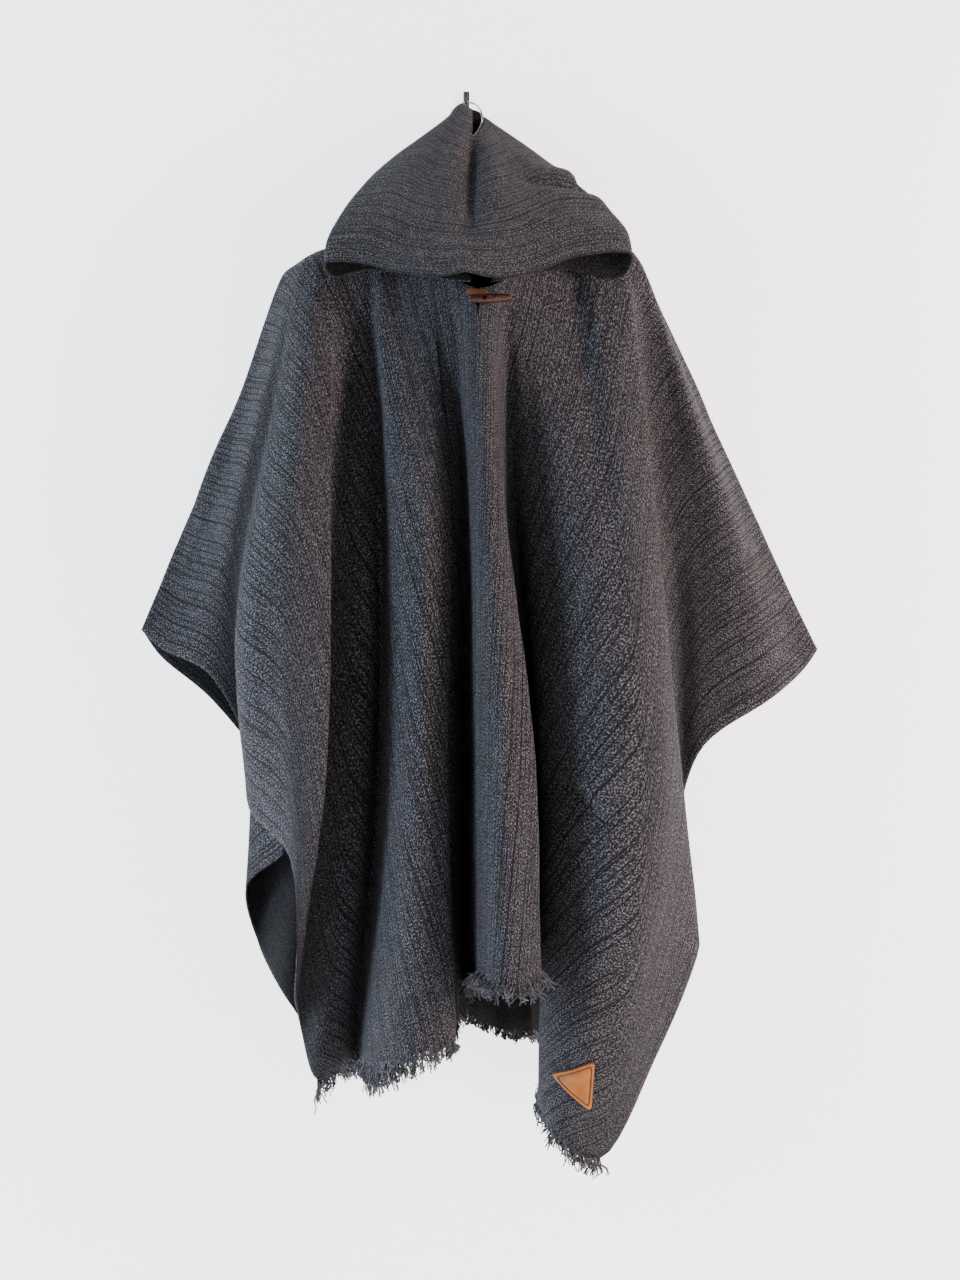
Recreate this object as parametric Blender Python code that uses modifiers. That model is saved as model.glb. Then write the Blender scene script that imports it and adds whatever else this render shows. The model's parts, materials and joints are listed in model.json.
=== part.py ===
# Hooded poncho, hung by a ring through the peak of its hood from a slim wall hook.
# The body is one woven rectangle with a neck hole and a short front slit; the hood is
# sewn round the neck. The body is built as five strips side by side, because its hollow
# can only stay open to collision in narrow solids.
# Metres, +Z up, +Y into the wall. The origin is on the hook's back.

import math

import bmesh
import bpy
import numpy as np
from mathutils import Matrix, Vector
from mathutils.bvhtree import BVHTree

MM = 0.001

# Sizes of the real thing, in millimetres
CLOTH = 2.4
SEAM_GAP = 0.3
FOLD_GAP = 2.8
STRIP_GAP = 0.7
HOOD_GAP = 0.9
SHOULDER_ROLL = 12.0
SHOULDER_RISE = 5.0
ROLL_SHARE = 0.07
NECK_RISE = 0.5
SLIT_WIDTH = 7.0
SLIT_LENGTH = 62.0
SLIT_ABOVE = 30.0
SLIT_BEFORE = 40.0
SLIT_BEHIND = 24.0
FRINGE_STRIP = 5.0
FRINGE_LENGTH = 27.0
FRINGE_WALL = 2.2
HEM_GAP = 1.2
TIGHT_DROP = 8.5
FRONT_PITCH = 11.0
BACK_PITCH = 13.0
TURN_REACH = 4
TIGHT_TURN = 0.25
STRAND_NARROWING = (0.25, 0.6)
TOGGLE_LENGTH = 50.0
TOGGLE_RADIUS = 5.0
TOGGLE_END_RADIUS = 2.6
TOGGLE_HOLE = 3.6
TOGGLE_HOLE_PITCH = 13.0
TAB_SIZE = (24.0, 3.0, 7.0)
TAB_BEVEL = 0.8
PATCH_WALL = 1.6
PATCH_CORNER = 0.12
PATCH_LIFT = 2.3
PATCH_SIDE = -400.0
RING_RADIUS = 24.0
RING_WIRE = 1.25
PLATE_SIZE = (8.0, 3.0, 28.0)
PRONG_RADIUS = 2.0
PRONG_REACH = 37.0
PRONG_RISE = 12.0
PRONG_BEND = 5.0
HOOD_TIP_RADIUS = 10.0

# Places, in millimetres from the hook's back
HOOD_TIP = (0.0, -26.0, -27.0)
RING_CENTRE = (-1.0, -25.0, -33.0)
RING_TURN = math.radians(24)
TOGGLE_CENTRE = (30.0, -197.3, -304.0)
TAB_CENTRE = (14.0, -192.9, -295.2)
SLIT_TOP = (19.0, -186.0, -286.0)
PATCH_CORNERS = ((100, -1211), (151, -1190), (147, -1252))

# The edge that each panel hangs from, left to right: shoulder folds and neck seam.
# column: place on the cut from the centre, then across, depth, height
TOP_EDGE_FRONT = (
    (-275, -218, -100, -244),
    (-228, -176, -106, -223),
    (-182, -129, -109, -216),
    (-165, -112, -110, -216),
    (-110, -68, -134, -238),
    (-55, -24, -163, -266),
    (0, 19, -186, -289),
    (55, 64, -164, -264),
    (110, 105, -136, -237),
    (165, 148, -110, -213),
    (182, 165, -109, -214),
    (222, 204, -106, -224),
    (267, 227, -100, -264),
)
TOP_EDGE_BACK = (
    (-275, -218, -100, -244),
    (-228, -176, -106, -223),
    (-182, -129, -109, -216),
    (-165, -112, -110, -216),
    (-110, -74, -74, -250),
    (-55, -36, -42, -286),
    (0, 4, -26, -303),
    (55, 46, -42, -285),
    (110, 102, -74, -248),
    (165, 148, -110, -213),
    (182, 165, -109, -214),
    (222, 204, -106, -224),
    (267, 227, -100, -264),
)

# Fold lines of the front, from the left shoulder fold round to the right one.
# columns: name, start on the top edge, then across and depth a third and two
# thirds of the way down, then across, depth and height of the foot
FRONT_LINES = (
    ("left shoulder fold", -275, -278, -98, -341, -94, -404, -90, -693),
    ("left wing rim", -268, -264, -112, -318, -108, -378, -98, -716),
    ("left wing face", -260, -243, -140, -283, -142, -316, -120, -746),
    ("left wing selvedge", -252, -234, -150, -273, -142, -274, -92, -836),
    ("left ridge side", -242, -227, -166, -272, -160, -265, -118, -912),
    ("left ridge crest", -230, -194, -192, -212, -208, -207, -172, -965),
    ("left ridge edge", -218, -160, -190, -161, -205, -205, -152, -1134),
    ("left ridge tuck", -208, -164, -166, -178, -150, -206, -118, -1160),
    ("left hollow", -199, -150, -140, -163, -116, -200, -108, -1202),
    ("front left corner", -190, -131, -134, -140, -112, -182, -118, -1245),
    ("left hollow end", -181, -116, -128, -124, -100, -158, -104, -1240),
    ("left crevice", -172, -105, -120, -112, -66, -139, -70, -1226),
    ("second ridge side", -160, -87, -176, -92, -160, -112, -158, -1212),
    ("second ridge crest", -130, -47, -206, -52, -218, -65, -218, -1187),
    ("second ridge edge", -82, -18, -192, -21, -206, -12, -206, -1174),
    ("second ridge tuck", -66, -23, -168, -29, -152, -21, -150, -1176),
    ("middle hollow", -50, -13, -160, -16, -134, -11, -128, -1165),
    ("middle crevice", -36, -3, -146, 2, -80, 0, -76, -1153),
    ("centre ridge side", -22, 10, -200, 12, -196, 17, -206, -1093),
    ("centre ridge crest", -9, 22, -224, 36, -250, 40, -264, -1093),
    ("centre front", 0, 33, -226, 56, -254, 62, -268, -1094),
    ("centre ridge edge", 9, 46, -212, 79, -236, 87, -248, -1085),
    ("centre ridge tuck", 20, 45, -186, 62, -186, 66, -192, -1092),
    ("centre crevice", 32, 62, -140, 106, -80, 116, -78, -1166),
    ("right panel side", 46, 79, -176, 94, -176, 88, -174, -1251),
    ("right panel crest", 105, 143, -214, 159, -238, 111, -214, -1281),
    ("front right corner", 160, 180, -216, 203, -242, 158, -206, -1310),
    ("right selvedge", 190, 200, -208, 232, -228, 222, -192, -1201),
    ("right ridge edge", 206, 220, -190, 245, -204, 280, -168, -1069),
    ("right ridge tuck", 218, 216, -160, 235, -150, 268, -122, -1006),
    ("right hollow", 230, 230, -138, 257, -116, 270, -92, -911),
    ("right wing side", 242, 250, -136, 283, -128, 295, -110, -835),
    ("right wing face", 252, 273, -140, 330, -138, 377, -118, -776),
    ("right wing rim", 260, 285, -114, 354, -110, 421, -98, -741),
    ("right shoulder fold", 267, 297, -98, 366, -94, 439, -90, -717),
)
FRONT_HEM = ("front left corner", "front right corner")
# Strips that the front is built in. columns: node, and the fold line that its right
# side comes just after
FRONT_STRIPS = (
    ("body_front_left", "left hollow"),
    ("body_front_middle", "centre ridge tuck"),
    ("body_front_right", "right shoulder fold"),
)

BACK_LINES = (
    ("left shoulder fold", -275, -278, -98, -341, -94, -404, -90, -693),
    ("left wing rim", -266, -264, -82, -319, -80, -384, -82, -724),
    ("left wing face", -250, -236, -58, -281, -56, -321, -66, -781),
    ("left wing selvedge", -234, -213, -42, -245, -40, -253, -52, -877),
    ("left flap edge", -218, -209, -40, -241, -44, -226, -96, -969),
    ("left flap side", -202, -201, -34, -262, -40, -278, -60, -1018),
    ("left back ridge", -184, -177, -22, -235, -22, -267, -36, -1096),
    ("left back hollow", -160, -147, -44, -187, -70, -221, -76, -1163),
    ("back left corner", -130, -112, -20, -140, -20, -163, -26, -1251),
    ("second back hollow", -90, -66, -72, -74, -106, -81, -112, -1206),
    ("second back ridge", -45, -21, -18, -18, -18, -21, -24, -1178),
    ("centre back", 0, 24, -76, 36, -112, 40, -118, -1182),
    ("third back ridge", 45, 66, -18, 96, -18, 110, -24, -1216),
    ("third back hollow", 90, 126, -62, 180, -84, 196, -84, -1240),
    ("back right corner", 135, 174, -20, 216, -20, 234, -26, -1236),
    ("right back hollow", 165, 205, -34, 243, -42, 260, -40, -1123),
    ("right back ridge", 195, 226, -22, 256, -24, 265, -34, -1001),
    ("right wing selvedge", 220, 249, -40, 281, -40, 286, -52, -848),
    ("right wing face", 240, 275, -58, 342, -58, 380, -68, -768),
    ("right wing rim", 257, 288, -84, 357, -82, 422, -84, -735),
    ("right shoulder fold", 267, 297, -98, 366, -94, 439, -90, -717),
)
BACK_HEM = ("back left corner", "back right corner")
BACK_STRIPS = (
    ("body_back_left", "second back ridge"),
    ("body_back_right", "right shoulder fold"),
)

# Fold lines of the hood, from the top seam round one side to the centre back.
# columns: name, then as (across, depth, height) the middle, how far the line bulges
# low down, and the foot
HOOD_LEFT_LINES = (
    ("top seam", (8, -126, -154), (0, 0, 0), (2, -232, -280)),
    ("brim near the seam", (-16, -138, -156), (0, 0, 0), (-28, -226, -284)),
    ("brim middle", (-50, -138, -156), (0, 0, 0), (-75, -206, -275)),
    ("brim outer", (-88, -122, -146), (-8, -4, 0), (-127, -178, -256)),
    ("brim end", (-118, -94, -129), (-13, -6, -5), (-168, -168, -255)),
    ("brim under", (-117, -82, -131), (-10, -8, 2), (-160, -154, -267)),
    ("brim return", (-112, -73, -134), (0, -12, 5), (-82, -167, -279)),
    ("throat", (-105, -66, -136), (0, -8, 4), (7, -186, -281)),
    ("neck front", (-97, -60, -136), (0, 0, 0), (-68, -133, -233)),
    ("neck side", (-87, -54, -133), (0, 0, 0), (-110, -108, -211)),
    ("neck back", (-46, -36, -142), (0, 0, 0), (-50, -54, -271)),
    ("centre back", (1, -24, -161), (0, 0, 0), (4, -26, -299)),
)
HOOD_RIGHT_LINES = (
    ("top seam", (8, -126, -154), (0, 0, 0), (2, -232, -280)),
    ("brim near the seam", (28, -138, -156), (0, 0, 0), (30, -226, -285)),
    ("brim middle", (57, -138, -156), (0, 0, 0), (74, -208, -277)),
    ("brim outer", (94, -120, -138), (10, -4, 3), (136, -182, -249)),
    ("brim end", (126, -90, -125), (14, 0, 4), (200, -166, -244)),
    ("brim under", (124, -78, -128), (12, -16, 4), (188, -152, -268)),
    ("brim return", (118, -70, -132), (0, -18, 6), (112, -166, -279)),
    ("throat", (110, -64, -134), (0, -12, 5), (31, -186, -281)),
    ("neck front", (101, -59, -134), (0, 0, 0), (105, -135, -232)),
    ("neck side", (91, -54, -132), (0, 0, 0), (147, -108, -208)),
    ("neck back", (50, -36, -142), (0, 0, 0), (58, -54, -271)),
    ("centre back", (1, -24, -161), (0, 0, 0), (4, -26, -299)),
)

# Steps between fold lines and between heights
PANEL_ACROSS = 2
PANEL_RIM_ACROSS = 4
PANEL_DOWN = (3, 5, 5, 4)
HOOD_ACROSS = 2
HOOD_DOWN = (7, 3, 2)
HOOD_BULGE_AT = 0.7

# Notches at the hood's peak where the ring goes through: first and last step round
# from the top seam, and steps down
LEFT_NOTCH = (17, 20, 3)
RIGHT_NOTCH = (0, 9, 3)


def clear_scene():
    for obj in list(bpy.data.objects):
        bpy.data.objects.remove(obj)


def new_collection(name):
    collection = bpy.data.collections.new(name)
    bpy.context.scene.collection.children.link(collection)
    return collection


def material(name, colour, roughness, metallic=0.0):
    made = bpy.data.materials.new(name)
    made.use_nodes = True
    shader = made.node_tree.nodes["Principled BSDF"]
    shader.inputs["Base Color"].default_value = (*colour, 1.0)
    shader.inputs["Roughness"].default_value = roughness
    shader.inputs["Metallic"].default_value = metallic
    return made


def add_object(name, mesh, finish, collection):
    obj = bpy.data.objects.new(name, mesh)
    mesh.materials.append(finish)
    collection.objects.link(obj)
    return obj


def length(vectors):
    return np.linalg.norm(vectors, axis=-1, keepdims=True)


def curve_through(rows, steps, before=None, after=None):
    """Smooth curve through each column of rows, with steps points in each stretch.

    before and after are the rows that would come next past the two ends.
    """
    rows = np.asarray(rows, float)
    if before is None:
        before = 2 * rows[0] - rows[1]
    if after is None:
        after = 2 * rows[-1] - rows[-2]
    full = np.concatenate([[before], rows, [after]])
    spans = np.sqrt(length(np.diff(full, axis=0))) + 1e-6
    made = []
    for i in range(1, len(full) - 2):
        a, b, c, d = full[i - 1 : i + 3]
        s, t, u = spans[i - 1 : i + 2]
        leave = t * ((b - a) / s - (c - a) / (s + t) + (c - b) / t)
        arrive = t * ((c - b) / t - (d - b) / (t + u) + (d - c) / u)
        count = steps[i - 1] if isinstance(steps, tuple) else steps
        for k in range(count):
            f = k / count
            made.append(
                (2 * f**3 - 3 * f**2 + 1) * b
                + (f**3 - 2 * f**2 + f) * leave
                + (3 * f**2 - 2 * f**3) * c
                + (f**3 - f**2) * arrive
            )
    made.append(rows[-1])
    return np.array(made)


def on_top_edge(edge, starts):
    """Points of a panel's top edge at the places on the cut in starts."""
    table = np.array(edge, float)
    fine = curve_through(table[:, 1:], 12)
    place = np.interp(
        np.linspace(0, len(table) - 1, len(fine)), range(len(table)), table[:, 0]
    )
    return np.stack([np.interp(starts, place, fine[:, k]) for k in range(3)], axis=1)


def shoulder_share(starts):
    """1 over the shoulders and 0 along the neck, for places on the cut."""
    return np.clip((np.abs(starts) - 135) / 28, 0, 1)


def panel_stations(lines, edge, side):
    """Five points down each fold line of a panel. side is -1 in front, 1 behind."""
    starts = np.array([row[1] for row in lines], float)
    upper = np.array([row[2:4] for row in lines], float)
    lower = np.array([row[4:6] for row in lines], float)
    foot = np.array([row[6:9] for row in lines], float)
    top = on_top_edge(edge, starts)
    share = shoulder_share(starts)
    end = np.minimum(np.abs(starts - starts[0]), np.abs(starts - starts[-1]))
    share_in = share * np.clip(end / 25, 0, 1)
    top[:, 2] += NECK_RISE * (1 - share)
    height = top[:, 2] * 2 / 3 + foot[:, 2] / 3
    height_low = top[:, 2] / 3 + foot[:, 2] * 2 / 3
    first = np.column_stack([upper, height])
    second = np.column_stack([lower, height_low])
    roll = top * (1 - ROLL_SHARE) + first * ROLL_SHARE
    roll[:, 1] += side * (SHOULDER_ROLL * share_in + 2)
    roll[:, 2] += SHOULDER_RISE * share_in
    return np.stack([top, roll, first, second, foot])


def turned_back(end, inner):
    """The row past an end that makes cloth leave it straight along the depth."""
    return np.stack([inner[..., 0], 2 * end[..., 1] - inner[..., 1], inner[..., 2]], axis=-1)


def panel_grid(lines, edge, side):
    """Middle surface of a panel: a grid of points, fold lines by heights."""
    stations = panel_stations(lines, edge, side)
    top, roll = stations[0], stations[1]
    share = shoulder_share(np.array([row[1] for row in lines], float))[:, None]
    before = turned_back(top, roll) * share + (2 * top - roll) * (1 - share)
    rows = curve_through(stations, PANEL_DOWN, before=before)
    down = rows.transpose(1, 0, 2)
    steps = (PANEL_RIM_ACROSS, *[PANEL_ACROSS] * (len(lines) - 3), PANEL_RIM_ACROSS)
    before = turned_back(down[0], down[1])
    after = turned_back(down[-1], down[-2])
    grid = curve_through(down, steps, before=before, after=after)
    grid[:, :, 1] += side * FOLD_GAP / 2
    return grid


def surface_mesh(name, grid, notch):
    """Open surface through a grid of points in millimetres, with a notch in its top edge."""
    first, last, deep = notch
    across, down = grid.shape[:2]
    bm = bmesh.new()
    verts = [[bm.verts.new(Vector(p) * MM) for p in column] for column in grid]
    for i in range(across - 1):
        for j in range(down - 1):
            if first <= i <= last and j < deep:
                continue
            bm.faces.new(
                (verts[i][j], verts[i][j + 1], verts[i + 1][j + 1], verts[i + 1][j])
            )
    loose = [v for v in bm.verts if not v.link_faces]
    bmesh.ops.delete(bm, geom=loose, context="VERTS")
    mesh = bpy.data.meshes.new(name)
    bm.to_mesh(mesh)
    bm.free()
    mesh.shade_smooth()
    return mesh


def wall(name, grid, finish, collection, notch=(0, 0, 0)):
    """Cloth: an open surface with an even wall."""
    obj = add_object(name, surface_mesh(name, grid, notch), finish, collection)
    solid = obj.modifiers.new("cloth", "SOLIDIFY")
    solid.thickness = CLOTH * MM
    solid.offset = 0.0
    solid.use_quality_normals = True
    return obj


def cutter(name, mesh, collection):
    obj = bpy.data.objects.new(name, mesh)
    obj.hide_render = True
    obj.display_type = "WIRE"
    collection.objects.link(obj)
    return obj


def cut(obj, other):
    boolean = obj.modifiers.new("cut", "BOOLEAN")
    boolean.operation = "DIFFERENCE"
    boolean.object = other
    return boolean


def mesh_of(name, bm):
    bmesh.ops.recalc_face_normals(bm, faces=bm.faces)
    mesh = bpy.data.meshes.new(name)
    bm.to_mesh(mesh)
    bm.free()
    return mesh


def slit_cutter():
    """Wedge that opens the front below the toggle, wide at the neck."""
    x, y, z = SLIT_TOP
    half = SLIT_WIDTH / 2
    profile = (
        (x - half, z + SLIT_ABOVE),
        (x + half, z + SLIT_ABOVE),
        (x + half, z),
        (x + 1, z - SLIT_LENGTH),
        (x - half, z),
    )
    bm = bmesh.new()
    near = [bm.verts.new(Vector((a, y - SLIT_BEFORE, b)) * MM) for a, b in profile]
    far = [bm.verts.new(Vector((a, y + SLIT_BEHIND, b)) * MM) for a, b in profile]
    bm.faces.new(near)
    bm.faces.new(far[::-1])
    for i in range(len(profile)):
        j = (i + 1) % len(profile)
        bm.faces.new((near[i], far[i], far[j], near[j]))
    return mesh_of("slit cutter", bm)


def column_of(lines, name):
    """Grid column of a fold line."""
    place = [row[0] for row in lines].index(name)
    return PANEL_RIM_ACROSS + (place - 1) * PANEL_ACROSS


def wall_strips(strips, grid, lines, finish, collection):
    """A panel's cloth in strips, with a small gap where one ends and the next starts.

    The grid's own columns are made straight where the strips part, down to the hem.
    """
    ends = [column_of(lines, name) + 1 for _, name in strips[:-1]]
    for end in ends:
        grid[end, :-1] = (grid[end - 1, :-1] + grid[end + 1, :-1]) / 2
    made = []
    for (name, _), first, last in zip(strips, [0, *ends], [*ends, len(grid) - 1]):
        part = grid[first : last + 1].copy()
        for edge, inner, cuts in ((0, 1, first > 0), (-1, -2, last < len(grid) - 1)):
            if cuts:
                way = part[inner] - part[edge]
                part[edge] += way / length(way) * STRIP_GAP / 2
        made.append(wall(name, part, finish, collection))
    return made


def hem_of(grid, lines, hem):
    """Hem points, and the ways down and out of the cloth there."""
    first, last = (column_of(lines, name) for name in hem)
    part = grid[first : last + 1]
    along = np.gradient(part[:, -1], axis=0)
    along /= length(along)
    down = part[:, -1] - part[:, -2]
    down -= along * np.sum(along * down, axis=1, keepdims=True)
    down /= length(down)
    out = np.cross(along, down)
    out /= length(out)
    return part[:, -1], down, out


def stations_along(hem, pitch):
    """The hem's points, ways down and ways out, with more between them about a pitch apart."""
    stretches = length(np.diff(hem[0], axis=0))[:, 0]
    place = [0.0]
    for k, stretch in enumerate(stretches):
        steps = max(1, round(stretch / pitch))
        place += [k + (n + 1) / steps for n in range(steps)]
    columns = range(len(hem[0]))
    return [
        np.stack([np.interp(place, columns, values[:, k]) for k in range(3)], axis=1)
        for values in hem
    ]


def fringe(name, hem, pitch, finish, collection):
    """Narrow strip just below a hem, with a four-sided strand under every other stretch.

    A stretch where the hem turns back on itself has no room for a strand.
    """
    edge, down, out = stations_along(hem, pitch)
    count = len(edge)
    down /= length(down)
    out /= length(out)
    hang = down + (0, 0, -0.15)
    hang /= length(hang)
    along = np.gradient(edge, axis=0)
    along /= length(along)
    past = along[np.maximum(np.arange(count) - TURN_REACH, 0)]
    coming = along[np.minimum(np.arange(count) + TURN_REACH, count - 1)]
    tight = np.sum(past * coming, axis=1) < TIGHT_TURN
    half = out * FRINGE_WALL / 2
    top = edge + down * HEM_GAP
    top[tight] += (0, 0, -TIGHT_DROP)
    bottom = top + down * FRINGE_STRIP
    bm = bmesh.new()
    rings = [
        [bm.verts.new(Vector(p) * MM) for p in (t + h, t - h, b - h, b + h)]
        for t, b, h in zip(top, bottom, half)
    ]
    bm.faces.new(rings[0])
    bm.faces.new(rings[-1][::-1])
    for i in range(count - 1):
        a, b = rings[i], rings[i + 1]
        for k in (0, 1, 3):
            n = (k + 1) % 4
            bm.faces.new((a[k], b[k], b[n], a[n]))
        root = [a[2], b[2], b[3], a[3]]
        if i % 2 or tight[i]:
            bm.faces.new(root)
            continue
        lean = Vector(
            (1.8 * math.sin(2.3 * i), 1.4 * math.sin(1.7 * i + 1), 0)
        )
        drop = Vector(hang[i]) * FRINGE_LENGTH * (1 + 0.14 * math.sin(3.1 * i))
        centre = sum((v.co for v in root), Vector()) / 4
        at_middle, at_tip = STRAND_NARROWING
        middle = [
            bm.verts.new(v.co + (drop / 2 + lean) * MM + (centre - v.co) * at_middle) for v in root
        ]
        tip = [bm.verts.new(v.co + (drop + lean * 3) * MM + (centre - v.co) * at_tip) for v in root]
        for upper, lower in ((root, middle), (middle, tip)):
            for k in range(4):
                n = (k + 1) % 4
                bm.faces.new((upper[k], upper[n], lower[n], lower[k]))
        bm.faces.new(tip)
    return add_object(name, mesh_of(name, bm), finish, collection)


def hood_grid(lines, side):
    """Middle surface of one half of the hood. side is -1 on the left, 1 on the right."""
    tip = Vector(HOOD_TIP)
    turn = np.linspace(-math.pi / 2, math.pi / 2, len(lines))
    start = np.array(
        [tip + HOOD_TIP_RADIUS * Vector((side * math.cos(a), math.sin(a), 0)) for a in turn]
    )
    middle = np.array([row[1] for row in lines], float)
    bulge = np.array([row[2] for row in lines], float)
    foot = np.array([row[3] for row in lines], float)
    low = middle + (foot - middle) * HOOD_BULGE_AT + bulge
    rows = curve_through(np.stack([start, middle, low, foot]), HOOD_DOWN)
    columns = rows.transpose(1, 0, 2)
    grid = curve_through(columns, HOOD_ACROSS)
    grid[0, :, 0] += side * HOOD_GAP
    grid[-1, :, 0] += side * HOOD_GAP
    return grid


def patch_mesh(under):
    """Leather triangle with rounded corners that follows the face of the cloth under it."""
    corners = [Vector(c) for c in PATCH_CORNERS]
    centre = sum(corners, Vector((0, 0))) / 3
    bpy.context.view_layer.update()
    panel = BVHTree.FromObject(under, bpy.context.evaluated_depsgraph_get())

    def lying(place, out):
        start = Vector((place.x, PATCH_SIDE, place.y)) * MM
        found, normal, _, _ = panel.ray_cast(start, Vector((0, 1, 0)))
        return found + normal * out * MM

    outline = []
    for k, corner in enumerate(corners):
        following = corners[(k + 1) % 3]
        back = corner.lerp(corners[k - 1], PATCH_CORNER)
        on = corner.lerp(following, PATCH_CORNER)
        for f in (0, 0.5, 1):
            outline.append(back.lerp(corner, f).lerp(corner.lerp(on, f), f))
        for f in (0.25, 0.5, 0.75):
            outline.append(on.lerp(following.lerp(corner, PATCH_CORNER), f))
    bm = bmesh.new()
    rims = []
    for out in (PATCH_LIFT, PATCH_LIFT + PATCH_WALL):
        rings = [
            [bm.verts.new(lying(centre.lerp(p, share), out)) for p in outline]
            for share in (1, 0.7, 0.4)
        ]
        middle = bm.verts.new(lying(centre, out))
        rims.append(rings[0])
        for k in range(len(outline)):
            n = (k + 1) % len(outline)
            for wide, narrow in zip(rings, rings[1:]):
                bm.faces.new((wide[k], wide[n], narrow[n], narrow[k]))
            bm.faces.new((rings[-1][k], rings[-1][n], middle))
    under_rim, over_rim = rims
    for k in range(len(outline)):
        n = (k + 1) % len(outline)
        bm.faces.new((under_rim[k], under_rim[n], over_rim[n], over_rim[k]))
    return mesh_of("leather_patch", bm)


def toggle(finish, collection, cutters):
    """Turned spindle that lies across the slit, with two thread holes."""
    half = TOGGLE_LENGTH / 2
    profile = [(0, half)]
    for k in range(9):
        f = 1 - k / 4
        radius = TOGGLE_END_RADIUS + (TOGGLE_RADIUS - TOGGLE_END_RADIUS) * (1 - f * f) ** 0.8
        profile.append((radius, f * half * 0.985))
    profile.append((0, -half))
    mesh = bpy.data.meshes.new("toggle")
    points = [(r * MM, 0, z * MM) for r, z in profile]
    mesh.from_pydata(points, [(k, k + 1) for k in range(len(points) - 1)], [])
    obj = add_object("toggle", mesh, finish, collection)
    obj.location = Vector(TOGGLE_CENTRE) * MM
    obj.rotation_euler = (0, math.pi / 2, 0)
    screw = obj.modifiers.new("turn", "SCREW")
    screw.steps = 12
    screw.render_steps = 12
    screw.use_merge_vertices = True
    screw.merge_threshold = 0.00005
    for side in (-1, 1):
        bm = bmesh.new()
        bmesh.ops.create_cone(
            bm,
            cap_ends=True,
            segments=10,
            radius1=TOGGLE_HOLE / 2 * MM,
            radius2=TOGGLE_HOLE / 2 * MM,
            depth=4 * TOGGLE_RADIUS * MM,
            matrix=Matrix.Rotation(math.pi / 2, 4, "X"),
        )
        hole = cutter(f"toggle hole {side}", mesh_of("toggle hole", bm), cutters)
        hole.location = (Vector(TOGGLE_CENTRE) + Vector((side * TOGGLE_HOLE_PITCH / 2, 0, 0))) * MM
        cut(obj, hole)
    return obj


def box_mesh(name, size, bevel):
    bm = bmesh.new()
    bmesh.ops.create_cube(bm, size=1.0)
    bmesh.ops.scale(bm, vec=Vector(size) * MM, verts=bm.verts)
    if bevel:
        bmesh.ops.bevel(
            bm, geom=list(bm.edges), offset=bevel * MM, segments=2, affect="EDGES", profile=0.5
        )
    return mesh_of(name, bm)


def wall_hook(finish, collection, helpers):
    """Slim plate against the wall with an upturned prong."""
    width, deep, tall = PLATE_SIZE
    plate = add_object("wall_hook", box_mesh("wall_hook", PLATE_SIZE, 0), finish, collection)
    plate.location = (0, -deep / 2 * MM, 0)
    level = RING_CENTRE[2] + RING_RADIUS - RING_WIRE - SEAM_GAP - PRONG_RADIUS
    route = [
        (0, -deep / 2, level),
        (0, -PRONG_REACH + PRONG_BEND, level),
        (0, -PRONG_REACH + PRONG_BEND * 0.3, level + PRONG_BEND * 0.3),
        (0, -PRONG_REACH, level + PRONG_BEND),
        (0, -PRONG_REACH, level + PRONG_RISE),
    ]
    curve = bpy.data.curves.new("prong", "CURVE")
    curve.dimensions = "3D"
    curve.bevel_depth = PRONG_RADIUS * MM
    curve.bevel_resolution = 2
    curve.use_fill_caps = True
    spline = curve.splines.new("POLY")
    spline.points.add(len(route) - 1)
    for point, place in zip(spline.points, route):
        point.co = (*(Vector(place) * MM), 1)
    bent = bpy.data.objects.new("prong curve", curve)
    helpers.objects.link(bent)
    bpy.context.view_layer.update()
    graph = bpy.context.evaluated_depsgraph_get()
    mesh = bpy.data.meshes.new_from_object(bent.evaluated_get(graph))
    bpy.data.objects.remove(bent)
    bm = bmesh.new()
    bm.from_mesh(mesh)
    bmesh.ops.remove_doubles(bm, verts=bm.verts, dist=0.00001)
    prong = cutter("prong", mesh_of("prong", bm), helpers)
    join = plate.modifiers.new("join", "BOOLEAN")
    join.operation = "UNION"
    join.object = prong
    return plate


def hang_ring(finish, collection):
    bpy.ops.mesh.primitive_torus_add(
        major_segments=32,
        minor_segments=8,
        major_radius=RING_RADIUS * MM,
        minor_radius=RING_WIRE * MM,
        location=Vector(RING_CENTRE) * MM,
        rotation=(math.pi / 2, 0, -RING_TURN),
    )
    obj = bpy.context.object
    obj.name = "hang_ring"
    obj.data.materials.append(finish)
    for owner in list(obj.users_collection):
        owner.objects.unlink(obj)
    collection.objects.link(obj)
    return obj


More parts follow.
